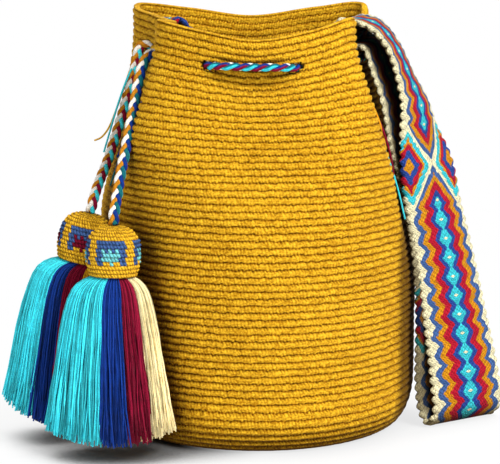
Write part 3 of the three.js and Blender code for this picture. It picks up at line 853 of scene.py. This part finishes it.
@dataclass
class BagBody:
    """Wall and base in one piece: rounds of stitches, a rolled rim and eyelets for the drawstring."""

    wall: BagWall
    cord: Drawstring
    rounds: int = 61
    stitches: int = 300
    columns: int = 360
    plump: float = 0.2 * MM
    wiggle: float = 0.7 * MM
    roll: float = 1.8 * MM
    rim_swell: float = 0.5 * MM
    inside_rounds: int = 12
    eyelet_half_width: float = 6.5 * MM
    eyelet_half_height: float = 3.6 * MM
    dent: float = 4.2 * MM
    bulge: float = 1.2 * MM
    uneven: float = 0.5 * MM
    fold: float = 2.4 * MM
    fold_angles: tuple[float, float] = (305, 284)
    fold_width: float = 9
    fold_way: float = 0.74
    fold_reach: float = 0.13
    shade: float = 0.88
    shade_ends: tuple[float, float] = (14 * MM, 30 * MM)
    seed: int = 5

    @property
    def angles(self) -> Array:
        """Angles of the columns in degrees."""
        return np.arange(self.columns) * 360 / self.columns

    @property
    def top(self) -> int:
        """Number of the ring at the rim, at three rings a round."""
        return 3 * self.rounds

    def relief(self, ring: Index) -> tuple[Array, Array, Array]:
        """Height of the rounds and their lean: a valley and two crests a round, uneven from stitch to stitch.

        Args:
            ring: Numbers of rings, three a round.

        Returns:
            Distances off the wall, shifts of angle in degrees and shifts up the wall, by ring and column.
        """
        part = ring[:, None] % 3
        shape = (2, self.top + 1, self.columns)
        stray, climb = np.random.default_rng(self.seed).uniform(-1, 1, shape)[:, ring]
        ridge = np.choose(part, [-0.78, 0.42, 0.54]) * self.wall.ridge
        bump = np.choose(part, [1.9, 0.8, 1.0]) * self.plump * stray
        lean = np.choose(part, [0.0, -0.12, 0.22]) * np.ones(self.columns)
        inner = ((ring > 0) & (ring < self.top))[:, None]
        return ridge + bump, lean, np.choose(part, [1.0, 0.4, 0.4]) * self.wiggle * climb * inner

    def sag(self, angle: Array, way: Array) -> Array:
        """Dents below the cord's outer spans, a bulge above each, a fold of the front and ripples.

        Each dent, bulge and side of the fold is a bell curve in angle and in height. The ripples are sines.
        """
        height = way * self.wall.length
        cord = self.cord.way * self.wall.length
        total = self.uneven * np.sin(np.radians(3 * angle) + 23 * way)
        total = total * np.sin(np.radians(5 * angle) - 14 * way + 1)
        out, back = (bell(angle - middle, self.fold_width) for middle in self.fold_angles)
        total = total + self.fold * (out - 0.8 * back) * bell(way - self.fold_way, self.fold_reach)
        for first, last in zip(self.cord.eyelets[1::2], self.cord.eyelets[2::2]):
            off = np.mod(angle - (first + last) / 2 + 180, 360) - 180
            wide = bell(off, 0.42 * (last - first))
            below, above = bell(height - cord + 8 * MM, 7 * MM), bell(height - cord - 10 * MM, 6 * MM)
            total = total + wide * (self.bulge * above - self.dent * below)
        return total

    def rings(self, numbers: Index, inside: bool) -> Array:
        """Rings of the wall, on its outer or inner side."""
        height, lean, climb = self.relief(numbers)
        way = numbers[:, None] / self.top + climb / self.wall.length
        grown = smoothstep(way * self.wall.length, 0.0, self.wall.heel_arc / 3)
        angle = self.angles[None] + lean
        low = self.sag(self.angles[None], way) * smoothstep(way, 0.1, 0.3)
        if inside:
            return self.wall.off(angle, way, low - self.wall.thickness - 0.5 * height * grown)
        return self.wall.off(angle, way, low + height * grown)

    def eyelet_cells(self) -> Cells:
        """Quads of the wall that lie in an eyelet: inside an ellipse about its middle."""
        row = (np.arange(self.top) + 0.5) / self.top
        height = (row - self.cord.way)[:, None] * self.wall.length
        column = self.angles + 180 / self.columns
        found = np.zeros((self.top, self.columns), bool)
        for eyelet in self.cord.eyelets:
            radius = self.wall.mouth(np.array(float(eyelet)), 1) * self.wall.belly_radius
            off = np.radians(np.mod(column - eyelet + 180, 360) - 180) * radius
            found |= (off[None] / self.eyelet_half_width) ** 2 + (height / self.eyelet_half_height) ** 2 < 1
        return found

    def build(self, finish: Material, touching: Array) -> None:
        """Rings from the middle of the base up the outside, over the rim and down the inside to the floor.

        Args:
            finish: Material of the crochet.
            touching: Points of the strap's edge that leans on the wall, which is shaded near them.
        """
        wall, columns, top = self.wall, self.columns, self.top
        outer_numbers = np.arange(top + 1)
        fine = 3 * self.inside_rounds
        inner_numbers = np.concatenate([np.arange(top, top - fine, -1), np.arange(top - fine, 5, -10)])
        around = np.radians(self.angles)
        disc = np.stack([np.cos(around), np.sin(around), np.zeros(columns)], -1)
        base_share = np.linspace(0.12, 0.94, 7)
        base = base_share[:, None, None] * wall.base_radius * disc
        outer = self.rings(outer_numbers, False)
        inner = self.rings(inner_numbers, True)
        turn = np.linspace(0, np.pi, 7)[1:-1]
        crest = wall.off(self.angles, 1.0, -wall.thickness / 2)
        half = wall.thickness / 2 + self.rim_swell
        rim = crest[None] + half * np.cos(turn)[:, None, None] * wall.normal(self.angles, 1.0)
        rim = rim + self.roll * np.sin(turn)[:, None, None] * UP
        floor_share = np.array([0.9, 0.6, 0.3])
        floor = floor_share[:, None, None] * (wall.base_radius - wall.thickness) * disc + wall.thickness * UP
        rings = np.concatenate([base, outer, rim, inner, floor])
        base_rounds = wall.base_radius / (wall.length / self.rounds)
        up = np.concatenate([
            (base_share - 1) * base_rounds, outer_numbers / 3, self.rounds + np.linspace(0.2, 0.8, len(turn)),
            inner_numbers / 3, (floor_share - 1) * base_rounds,
        ])
        across = np.arange(columns + 1) * self.stitches / columns
        quads, uv = ring_quads(len(rings), columns), ring_uv(across, up)
        skin = Skin()
        skin.place(rings)
        first_outer = len(base)
        first_inner = len(base) + len(outer) + len(rim)
        open_cells = self.eyelet_cells()
        keep = np.ones((len(rings) - 1, columns), bool)
        keep[first_outer:first_outer + top] = ~open_cells
        keep[first_inner:first_inner + fine] = ~open_cells[top - fine:][::-1]
        skin.cover(quads[keep], uv[keep])
        self.bind_eyelets(skin, open_cells, first_outer, first_inner)
        ring_row = np.stack([across[:-1], np.full(columns, up[0])], -1)
        poles = (0 * UP, wall.thickness * UP)
        skin.close(len(rings), columns, [(pole, (0, -base_rounds), ring_row) for pole in poles])
        gap = np.linalg.norm(np.concatenate(skin.points)[:, None] - touching, axis=2).min(axis=1)
        skin.contact = self.shade * (1 - smoothstep(gap, *self.shade_ends))
        skin.build("bag_body_crochet", finish, "mustard_crochet", "bag_body")

    def bind_eyelets(self, skin: Skin, cells: Cells, outer: int, inner: int) -> None:
        """Wall each eyelet: a quad from every outer edge of the opening to the same edge inside."""
        columns = self.columns

        def numbers(row: Index, column: Index) -> tuple[Index, Index]:
            """Numbers of the outer and inner points at a row and column."""
            column = column % columns
            return (outer + row) * columns + column, (inner + self.top - row) * columns + column

        edges = (
            (1, 0, (0, 0), (0, 1)), (-1, 0, (1, 1), (1, 0)), (1, 1, (1, 0), (0, 0)), (-1, 1, (0, 1), (1, 1)),
        )
        for shift, axis, first, last in edges:
            row, column = np.nonzero(cells & ~np.roll(cells, shift, axis=axis))
            a, a_in = numbers(row + first[0], column + first[1])
            b, b_in = numbers(row + last[0], column + last[1])
            faces = np.stack([a, b, b_in, a_in], -1)
            spot = np.stack([column * self.stitches / columns, row / 3], -1)[:, None]
            skin.cover(faces, np.broadcast_to(spot, (len(faces), 4, 2)))


@dataclass
class ShoulderStrap:
    """Woven band, sewn into the mouth's two grooves, that crosses the mouth and falls down the right side."""

    wall: BagWall
    width: float = 67 * MM
    thickness: float = 3.6 * MM
    seam_drop: float = 3 * MM
    left_seam: tuple[float, float, float] = (189, 10 * MM, 8 * MM)
    right_seam: tuple[float, float, float] = (350, 5.5 * MM, 7 * MM)
    bend: float = 4.5 * MM
    rim_roll: float = 1.8 * MM
    clearance: float = 0.4 * MM
    spans: int = 44
    step: float = 1.5 * MM
    zigzag: float = 15 * MM
    puff: float = 0.8 * MM
    scallop: float = 1.6 * MM
    cross_height: float = 198 * MM
    shade: float = 0.86
    shade_run: float = 20 * MM
    shade_levels: tuple[float, float] = (0.35, 0.6)

    def band_end(self, start: float, direction: int) -> float:
        """Angle of the rim at which a band of the strap's width ends."""
        angles = start + direction * 0.25 * np.arange(800)
        reach = np.linalg.norm(self.wall.surface(angles, 1.0) - self.wall.surface(start, 1.0), axis=-1)
        return float(angles[np.argmax(reach >= self.width)])

    def on_wall(self, near: float, far: float, way: float, distance: float, lift: float = 0,
                tilt: float = 0) -> Array:
        """Cross line along the wall, its near edge raised by a lift and its far edge by a tilt less."""
        share = np.array([0.0, 0.5, 1.0])
        points = self.wall.off(near + (far - near) * share, way, distance)
        return points + (lift - tilt * share)[:, None] * UP

    def hanging(self, x: float, y: float, z: float, heading: float, cup: float) -> Array:
        """Cross line that hangs free: level from its near edge to a heading, its middle bowed by a cup."""
        near = self.wall.at(x, y, z)
        turn = math.radians(heading)
        across = np.array([math.sin(turn), math.cos(turn), 0.0])
        bow = np.array([math.cos(turn), -math.sin(turn), 0.0])
        return np.stack([near, near + across * self.width / 2 + bow * cup * MM, near + across * self.width])

    def lines(self) -> Array:
        """Cross lines from the left seam over the mouth, down to the floor and back up to the right seam."""
        left, left_height, left_tilt = self.left_seam
        right, right_height, right_tilt = self.right_seam
        left_far, right_far = self.band_end(left, -1), self.band_end(right, 1)
        wall, height = self.wall, self.wall.rim_height
        inside = -wall.thickness - self.thickness / 2 - 3 * self.clearance
        outside = self.thickness / 2 + wall.ridge / 2 + 2 * self.clearance
        lift = self.rim_roll + self.thickness / 2 + 2 * self.clearance + right_tilt
        top = wall.way_up(height - self.seam_drop)
        left_foot = wall.way_up(height - self.seam_drop - left_height)
        right_foot = wall.way_up(height - self.seam_drop - right_height)
        over_mouth = [
            (-0.42, -0.1, 0.965, -17, 0), (-0.31, -0.105, 0.937, -11, 0), (-0.16, -0.108, 0.905, -5, 0),
            (0, -0.11, 0.89, 0, 0), (0.16, -0.108, 0.892, 5, 0), (0.31, -0.105, 0.915, 8, 0),
            (0.43, -0.102, 0.95, 10, 0),
        ]
        falling = [
            (0.7, -0.1, 0.967, 10, 0), (0.81, -0.108, 0.916, 10, 1), (0.878, -0.13, 0.831, 14, 3),
            (0.898, -0.15, 0.78, 20, 4), (0.89, -0.19, 0.715, 28, 4), (0.89, -0.25, 0.638, 39.5, 4),
            (0.915, -0.315, 0.537, 43.5, 4), (0.971, -0.32, 0.439, 45, 4), (1.043, -0.31, 0.26, 50.5, 4),
            (1.095, -0.32, 0.11, 56, 4), (1.11, -0.33, 0.035, 57, 2), (1.068, -0.335, 0.0085, 57, 0),
        ]
        rising = [
            (1.025, -0.335, 0.034, 56, -2), (1.0, -0.335, 0.1, 54, -4), (0.995, -0.34, 0.3, 48, -4),
            (0.958, -0.325, 0.45, 44, -3), (0.88, -0.24, 0.6, 37, -2), (0.815, -0.18, 0.7, 29.5, -1),
            (0.772, -0.14, 0.79, 25, 0), (0.712, -0.115, 0.86, 21, 0), (0.645, -0.1, 0.922, 18, 0),
        ]
        return np.array([
            self.on_wall(left, left_far, left_foot, inside),
            self.on_wall(left, left_far, top, inside, tilt=left_tilt / 2),
            self.on_wall(left, left_far, 1.0, inside - self.bend, self.rim_roll, left_tilt),
            *(self.hanging(*line) for line in over_mouth),
            self.on_wall(right, right_far, 1.0, -wall.thickness / 2, lift, right_tilt),
            *(self.hanging(*line) for line in (*falling, *rising)),
            self.on_wall(right, right_far, right_foot, outside),
            self.on_wall(right, right_far, top, outside),
        ])

    def course(self) -> tuple[Array, float, Array]:
        """Even steps along the strap: distances along its middle, the lowest point's, and three curves."""
        lines = self.lines()
        share = np.linspace(0, 1, 40 * len(lines))
        walk = lengths(catmull(lines[:, 1], share))
        along = np.linspace(0, walk[-1], round(walk[-1] / self.step) + 1)
        curves = np.stack([catmull(lines[:, k], np.interp(along, walk, share)) for k in range(3)])
        return along, along[np.argmin(curves[1][:, 2])], curves

    def seat(self) -> Array:
        """Near edge of the run that comes back up, which leans on the wall."""
        along, lowest, (near, _, _) = self.course()
        return near[along > lowest][::4]

    def cross_at(self) -> float:
        """Distance along the strap of the cross on the falling run."""
        along, lowest, (_, middle, _) = self.course()
        falling = (along < lowest) & (middle[:, 0] > 0.1)
        away = np.where(falling, np.abs(middle[:, 2] - self.cross_height), 1.0)
        return float(along[np.argmin(away)])

    def build(self, finish: Material) -> None:
        """Quadratic through near, middle and far edge at each step, thickened along its normal.

        The edges are rounded, and puff out in knobs, two for each zigzag. The run that comes back up is
        shaded where the falling run hangs in front of it.

        Args:
            finish: Material of the weave.
        """
        along, lowest, (near, middle, far) = self.course()
        share = np.linspace(0, 1, self.spans + 1)
        weights = np.stack([(1 - share) * (1 - 2 * share), 4 * share * (1 - share), share * (2 * share - 1)])
        band = (near[:, None] * weights[0][:, None] + middle[:, None] * weights[1][:, None]
                + far[:, None] * weights[2][:, None])
        ahead, over = np.gradient(band, axis=0), np.gradient(band, axis=1)
        facing = unit(np.cross(ahead, over))
        side = 2 * share - 1
        wave = np.abs(np.sin(2 * np.pi * along / self.zigzag))[:, None]
        border = smoothstep(np.abs(side)[None], 0.72, 0.95)
        half = self.thickness / 2 * (1 - 0.86 * np.abs(side) ** 22)[None] + self.puff * border * wave
        half = half - 0.3 * self.thickness / 2 * np.abs(side)[None] ** 40
        scallop = self.scallop * (2 * wave - 1.4) * np.abs(side) ** 6 * np.sign(side)
        band = band + unit(over) * scallop[..., None]
        low, high = band - facing * half[..., None], band + facing * half[..., None]
        rings = np.concatenate([low, high[:, ::-1]], axis=1)
        columns = rings.shape[1]
        quads = ring_quads(len(rings), columns).reshape(-1, 4)
        across = np.concatenate([side, side[::-1]])
        plan = np.stack(np.broadcast_arrays(along[:, None], across[None]), -1).reshape(-1, 2)
        skin = Skin()
        skin.place(rings)
        skin.cover(quads, plan[quads])
        skin.close(len(rings), columns, [
            (rings[0].mean(0), plan[0], plan[:columns][::-1]), (rings[-1].mean(0), plan[-1], plan[-columns:]),
        ])
        levels = np.array(self.shade_levels) * self.wall.rim_height
        hidden = self.shade * smoothstep(along, lowest, lowest + self.shade_run)
        hidden = hidden * (1 - smoothstep(middle[:, 2], *levels))
        skin.contact = np.append(np.repeat(hidden, columns), (0.0, 0.0))
        piece = skin.build("shoulder_strap_weave", finish, "strap_weave", "shoulder_strap")


@dataclass
class Tassel:
    """Crocheted cap on a tail of the drawstring, with hanks of cut yarn hanging out of it."""

    name: str
    head: Array
    lean: tuple[float, float]
    motif: Dye
    hanks: Sequence[tuple[Dye, float, float]]
    half_width: float
    bow: float
    seed: int
    cap_radius: float = 19.6 * MM
    cap_height: float = 37 * MM
    mouth_radius: float = 17 * MM
    cap_wall: float = 2.8 * MM
    skirt_length: float = 120 * MM
    half_depth: float = 25 * MM
    clearance: float = 0.4 * MM
    rows: int = 16
    stitches: int = 48
    repeat: int = 12
    motif_shift: int = 31
    stitch_lift: float = 1.3 * MM
    yarns: int = 1000
    skin_yarns: int = 620
    tuck: float = 0.11
    sway: float = 1.6 * MM

    def turn(self) -> Array:
        """Rotation of the tassel: about Y first and then about X."""
        x, y = np.radians(self.lean)
        about_x = np.array([[1, 0, 0], [0, np.cos(x), -np.sin(x)], [0, np.sin(x), np.cos(x)]])
        about_y = np.array([[np.cos(y), 0, np.sin(y)], [0, 1, 0], [-np.sin(y), 0, np.cos(y)]])
        return about_x @ about_y

    def world(self, points: Array) -> Array:
        """Points of the tassel's own frame, in the bag's frame."""
        return points @ self.turn().T + self.head

    def above(self, height: float) -> Array:
        """Point above the cap, in line with the tassel."""
        return self.world(height * UP)

    def cap_dyes(self, row: Index, stitch: Index) -> Array:
        """Colour of each stitch: a blue bracket that holds a stepped figure, repeated round the cap.

        Args:
            row: Rows, counted down from the top.
            stitch: Stitches, counted round.

        Returns:
            Linear colours.
        """
        place = np.mod(stitch - self.motif_shift, self.repeat)
        roof = (row >= 7) & (row <= 8) & (place >= 1) & (place <= 9)
        legs = (row >= 9) & (row <= 12) & ((place <= 2) & (place >= 1) | (place >= 8) & (place <= 9))
        notch = (row == 9) & ((place == 4) | (place == 6))
        figure = (row >= 9) & (row <= 11) & (place >= 3) & (place <= 7) & ~notch
        stem = (row == 12) & (place == 5)
        choice = np.where(roof | legs | notch, 1, np.where(figure | stem, 2, 0))
        return np.array([Dye.GOLD.linear, Dye.STEEL.linear, self.motif.linear])[choice]

    def build_cap(self, finish: Material) -> Piece:
        """A turned profile with four rings a row, plump at each stitch, then the lip and a plain lining.

        A stitch's height is sqrt((1 - 0.75 (2x - 1)^2) (1 - 0.8 (2y - 1)^2)), times a random size.

        Args:
            finish: Material of the crochet.

        Returns:
            The cap.
        """
        outline = np.array([(0, 0), (0.42, 0.04), (0.73, 0.13), (0.93, 0.28), (1, 0.5), (0.97, 0.76)])
        lip = (self.mouth_radius, self.cap_height)
        outline = np.vstack([outline * (self.cap_radius, self.cap_height), lip])
        fine = catmull(np.column_stack([outline, np.zeros(len(outline))]), np.linspace(0, 1, 400))
        walk = lengths(fine)
        rings = 4 * self.rows
        at = np.linspace(0, walk[-1], rings + 1)[1:]
        radius, down = (np.interp(at, walk, fine[:, k]) for k in (0, 1))
        number = np.arange(1, rings + 1)
        columns = 4 * self.stitches
        part, row = (number % 4)[:, None], (number // 4)[:, None]
        beside = np.arange(columns)[None] / 4 + 0.5 + 0.5 * (row % 2)
        size = np.random.default_rng(self.seed).uniform(0.55, 1.35, (self.rows + 1, self.stitches))
        size = size[row, np.floor(beside).astype(int) % self.stitches]
        plump = (1 - 0.75 * (2 * np.mod(beside, 1) - 1) ** 2) * (1 - 0.8 * (part / 2 - 1) ** 2)
        lift = self.stitch_lift * (np.sqrt(plump) * size - 0.62)
        lift = lift * smoothstep(radius, 0.0, 9 * MM)[:, None]
        slope = unit(np.column_stack([np.gradient(down), -np.gradient(radius)]))
        turn = 2 * np.pi * (np.arange(columns)[None] + np.choose(part, [0.0, -0.4, 0.0, 0.4])) / columns

        def turned(r: Array, z: Array) -> Array:
            """Points at radii and depths, round the cap."""
            angle = turn[:len(r)]
            return np.stack([r * np.cos(angle), r * np.sin(angle), -z * np.ones((1, columns))], -1)

        outside = turned(radius[:, None] + lift * slope[:, :1], down[:, None] + lift * slope[:, 1:])
        inside = (self.mouth_radius - self.cap_wall) * np.array([1, 1, 1, 0.88, 0.6])
        depth = self.cap_height * np.array([1.0, 0.76, 0.5, 0.3, 0.18])
        lining = turned(inside[:, None] * np.ones((1, columns)), depth[:, None])
        shell = np.concatenate([outside, lining])[::-1]
        rows = np.concatenate([number / 4, np.full(len(lining), float(self.rows))])[::-1]
        across = np.arange(columns + 1) / 4
        quads, uv = ring_quads(len(shell), columns), ring_uv(across, -rows)
        centre = uv.mean(axis=2)
        row = np.floor(-centre[..., 1] + 1e-6).astype(int)
        stitch = np.floor(centre[..., 0] + 0.5 + 0.5 * np.mod(row, 2)).astype(int)
        dye = np.repeat(self.cap_dyes(row, stitch)[:, :, None], 4, axis=2)
        skin = Skin()
        skin.place(self.world(shell))
        skin.cover(quads.reshape(-1, 4), uv.reshape(-1, 4, 2), dye.reshape(-1, 4, 4))
        ring_row = np.stack([across[:-1], np.full(columns, -rows[-1])], -1)
        inner_pole = self.above(-0.13 * self.cap_height)
        ends = [(inner_pole, (0, -self.rows), ring_row), (self.head, (0, 0), ring_row)]
        skin.close(len(shell), columns, ends, np.array(Dye.GOLD.linear))
        return skin.build(f"{self.name}_cap_crochet", finish, "mustard_crochet", f"{self.name}_cap")

    def build_hanks(self, finish: Material) -> None:
        """Yarns at random places of a bell, by colour, that bows out to the left below the cap.

        With t the share of the skirt's length, its width grows as 0.34 (1 - e^(-24 t)) + 0.66 t^0.7 and its
        bow as (1 - e^(-20 t)) (1 - t^2)^1.5. Each yarn sways by two sine waves with random starts.

        Args:
            finish: Material of the yarn.
        """
        random = np.random.default_rng(self.seed)
        steps = np.array([0, 0.07, 0.1, 0.115, 0.135, 0.16, 0.195, 0.25, 0.33, 0.45, 0.6, 0.8, 1.0])
        head = self.mouth_radius - self.cap_wall - self.clearance
        for dye, first, last in self.hanks:
            share = (last - first) / 360
            fill, outer = round(self.yarns * share), round(self.skin_yarns * share)
            one_each = (fill + outer, 1)
            angle = np.radians(np.concatenate([
                random.uniform(first + 1, last - 1, fill),
                np.linspace(first + 1, last - 1, outer) + random.uniform(-1, 1, outer),
            ]))[:, None]
            reach = np.concatenate([
                np.sqrt(random.uniform(0.0, 0.92, fill)), random.uniform(0.9, 1.0, outer),
            ])[:, None]
            flat = (reach * np.cos(angle)) ** 2
            end = 1.0 - 0.075 * flat + random.normal(-0.015, 0.028, one_each).clip(-0.1, 0.012)
            t = -self.tuck + (end + self.tuck) * steps[None]
            below = np.maximum(t, 0)
            spread = 0.34 * (1 - np.exp(-24 * below)) + 0.66 * below**0.7
            bowed = self.bow * (1 - np.exp(-20 * below)) * (1 - np.minimum(below, 1) ** 2) ** 1.5
            yarn = (0.44 + 0.12 * spread) * random.uniform(0.85, 1.2, one_each) * MM
            start = random.uniform(0, 2 * np.pi, (4, *one_each))
            loose = self.sway * below
            drift = loose * (np.sin(4.5 * t + start[0]) + 0.5 * np.sin(14 * t + start[2]))
            drift_y = loose * (np.sin(4 * t + start[1]) + 0.5 * np.sin(15 * t + start[3]))
            x = reach * (head + (self.half_width - head) * spread - yarn) * np.cos(angle) + drift - bowed
            y = reach * (head + (self.half_depth - head) * spread - yarn) * np.sin(angle) + drift_y
            z = -self.cap_height - t * self.skirt_length
            paths = self.world(np.stack([x, y, z], -1))
            tint = random.uniform(0.5, 1.55, one_each) * np.array(dye.linear)[None]
            tint[:, 3] = 1.0
            skin = Skin()
            skin.tubes(paths, yarn, 4, np.array([0.3, -0.95, 0.05]), tint)
            colour = dye.name.lower()
            hank = f"{self.name}_{colour}"
            skin.build(f"{hank}_strands", finish, f"{colour}_yarn", f"{hank}_yarn")


@dataclass(frozen=True)
class Studio:
    """Camera at the photograph's angle, a pale floor and soft light from the front and right."""

    camera_place: tuple[float, float, float] = (-0.0063, -1.6, 0.448)
    camera_pitch: float = 10.75
    lens: float = 152.1
    sensor: float = 36.0
    far: float = 40.0
    floor_corners: Sequence[tuple[float, float, float]] = ((-8, -4, 0), (8, -4, 0), (8, 14, 0), (-8, 14, 0))
    floor_drop: float = 0.3 * MM
    tassels_at: tuple[float, float, float] = (-0.11, -0.09, 0.0)
    bag_at: tuple[float, float, float] = (-0.04, -0.14, 0.0)
    sky: float = 0.3
    backdrop: float = 1.0
    bag_middle: float = 0.16
    boxes: Sequence[tuple[str, tuple[float, float, float], float, float]] = (
        ("key_light", (1.1, -1.45, 1.85), 1.0, 72.0),
        ("fill_light", (-1.2, -1.6, 0.9), 1.2, 9.0),
        ("back_light", (-0.5, 1.8, 1.3), 1.2, 16.0),
    )

    def build_camera(self) -> None:
        """A long lens, level across, tipped a little down."""
        data = bpy.data.cameras.new("camera")
        data.sensor_fit = "HORIZONTAL"
        data.sensor_width = self.sensor
        data.lens = self.lens
        data.clip_end = self.far
        camera = new_object("camera", data)
        camera.location = self.camera_place
        camera.rotation_euler = (math.radians(90 - self.camera_pitch), 0, 0)
        bpy.context.scene.camera = camera

    def build_floor(self) -> None:
        """A wide white floor, darker for the camera where a piece stands or hangs close above it."""
        mesh = bpy.data.meshes.new("floor")
        mesh.from_pydata(self.floor_corners, [], [(0, 1, 2, 3)])
        floor = new_object("floor", mesh)
        floor.location.z = -self.floor_drop
        material = bpy.data.materials.new("pale_floor")
        bench = fresh_bench(material)
        near = bench.wire("ShaderNodeAmbientOcclusion", {"Distance": 0.05}, "AO", samples=8)
        place = bench.wire("ShaderNodeTexCoord", output="Object")
        below = bench.vector("DISTANCE", place, self.tassels_at, output="Value")
        shadow = bench.span(near, (0.3, 0.85), (1.0, 0.0)) * bench.span(below, (0.05, 0.12), (1.0, 0.15))
        away = bench.vector("DISTANCE", place, self.bag_at, output="Value")
        seen = bench.wire("ShaderNodeLightPath", output="Is Camera Ray")
        matte = bench.wire("ShaderNodeBsdfDiffuse", {"Color": (0.9, 0.9, 0.9, 1.0)})
        glow = bench.wire("ShaderNodeEmission", {"Color": PURE_WHITE, "Strength": self.backdrop - shadow})
        share = seen * bench.span(away, (0.16, 0.34), (0.88, 1.0))
        mixed = bench.wire("ShaderNodeMixShader", {0: share, 1: matte, 2: glow})
        bench.add("ShaderNodeOutputMaterial", {"Surface": mixed})
        mesh.materials.append(material)

    def build_light(self) -> None:
        """A white sky, seen at full white by the camera, and square soft boxes that face the bag."""
        world = bpy.data.worlds.new("studio")
        bpy.context.scene.world = world
        bench = fresh_bench(world)
        rays = bench.add("ShaderNodeLightPath").outputs
        camera, glossy, through = (
            Wire(bench, rays[f"Is {kind} Ray"]) for kind in ("Camera", "Glossy", "Transmission")
        )
        seen = bench.math("MAXIMUM", bench.math("MAXIMUM", camera, glossy), through)
        soft, white = (
            bench.wire("ShaderNodeBackground", {"Color": PURE_WHITE, "Strength": strength})
            for strength in (self.sky, self.backdrop)
        )
        mixed = bench.wire("ShaderNodeMixShader", {0: seen, 1: soft, 2: white})
        bench.add("ShaderNodeOutputWorld", {"Surface": mixed})
        for name, place, size, power in self.boxes:
            data = bpy.data.lights.new(name, "AREA")
            data.size = size
            data.energy = power
            lamp = new_object(name, data)
            x, y, z = place
            lamp.location = place
            tip = math.atan2(math.hypot(x, y), z - self.bag_middle)
            lamp.rotation_euler = (tip, 0, math.atan2(y, x) + math.pi / 2)


def loose_yarns(wall: BagWall) -> list[LooseYarn]:
    """Yarn ends of the strap's seams, each near its bundle's solid or beside the back tail.

    Args:
        wall: Wall that the yarns lie against.

    Returns:
        The yarns.
    """
    bundles = {
        ("left", 0.952): [
            (Dye.TEAL, (188, 192, 196, 199, 201, 203), 0.6, 2.6),
            (Dye.CRIMSON, (190, 195, 199, 203, 206, 208), 0.64, 2.2),
            (Dye.BLUE, (187, 190, 193, 195, 197, 198), 0.66, 3.6),
        ],
        ("right", 0.885): [
            (Dye.CRIMSON, (341, 333, 328.5, 328.5, 331, 336), 0.6, 2.8),
            (Dye.AMBER, (340.8, 332.6, 328, 328, 330.4, 335.2), 0.66, 2.2),
            (Dye.TURQUOISE, (342, 336, 333, 333, 334, 335.5), 0.52, 3.0),
        ],
    }
    beside = {
        Dye.TURQUOISE: [
            (-0.745, 0.15, 0.905), (-0.79, 0.12, 0.875), (-0.84, 0.07, 0.835), (-0.895, 0.0, 0.775),
            (-0.945, -0.07, 0.71), (-0.975, -0.14, 0.67),
        ],
        Dye.MUSTARD: [
            (-0.75, 0.16, 0.9), (-0.8, 0.13, 0.875), (-0.845, 0.09, 0.83), (-0.89, 0.03, 0.78),
            (-0.955, -0.03, 0.72), (-1.0, -0.05, 0.7), (-1.04, -0.06, 0.694),
        ],
    }
    yarns = []
    for (side, top), bundle in bundles.items():
        for number, (dye, angles, foot, stand) in enumerate(bundle):
            height = np.linspace(top, foot, len(angles)) * wall.rim_height
            points = wall.off(np.array(angles, float), wall.way_up(height), (stand + 1) * MM)
            node = None if number else f"strap_yarns_{side}"
            yarns.append(LooseYarn(f"strap_{side}_{dye.name.lower()}_yarn", dye, points, node))
    for dye, places in beside.items():
        points = np.array([wall.at(*place) for place in places])
        yarns.append(LooseYarn(f"strap_tail_{dye.name.lower()}_yarn", dye, points))
    return yarns


def main() -> None:
    """Build the stage and every piece, cords first."""
    logging.basicConfig(level=logging.INFO, format="%(name)s: %(message)s")
    bpy.context.scene.view_settings.view_transform = "Standard"
    studio = Studio()
    studio.build_camera()
    for build_group in (build_stitch_group, build_fibre_group, build_twist_group, build_shade_group):
        build_group()
    wall = BagWall()
    braid = TwistFinish("braided_cord", lay=5 * MM, relief=0.3 * MM).make()
    loose = TwistFinish("loose_yarn", lay=11 * MM, relief=0.15 * MM).make()
    front = Tassel("front_tassel", wall.at(-0.871, -0.862, 0.542), (-5, 1.2), Dye.CYAN, [
        (Dye.MUSTARD, 20, 160), (Dye.TURQUOISE, 160, 263), (Dye.BLUE, 263, 289), (Dye.CRIMSON, 289, 316),
        (Dye.CREAM, 316, 380),
    ], half_width=48 * MM, bow=2.5 * MM, seed=11)
    back = Tassel("back_tassel", wall.at(-1.04, -0.46, 0.543), (-3, 12.4), Dye.CRIMSON, [
        (Dye.CREAM, 20, 100), (Dye.TURQUOISE, 100, 248), (Dye.BLUE, 248, 274), (Dye.CRIMSON, 274, 305),
        (Dye.MUSTARD, 305, 380),
    ], half_width=36 * MM, bow=9.5 * MM, seed=12)
    cord = Drawstring(wall)
    cord_piece, line = cord.build(braid, front, back)
    for yarn in loose_yarns(wall):
        yarn.build(loose)
    # The cap's groove colour is painted shade in its grooves.
    cap_finish = CrochetFinish(
        "cap_crochet", shade=(0.42, 0.34, 0.3, 1.0), groove=(0.4, 0.28, 0.2, 1.0), parting=0.9, wander=0.2,
        depth=0.8, base=1.06, lumps=1.0, closeness=12 * MM,
    ).make()
    caps = [tassel.build_cap(cap_finish) for tassel in (front, back)]
    for tassel in (front, back):
        tassel.build_hanks(loose)
    strap = ShoulderStrap(wall)
    BagBody(wall, cord).build(CrochetFinish("mustard_crochet", dye=Dye.GOLD).make(), strap.seat())
    strap.build(StrapFinish("strap_weave", cross_at=strap.cross_at()).make())
    studio.build_floor()
    studio.build_light()


if __name__ == "__main__":
    main()
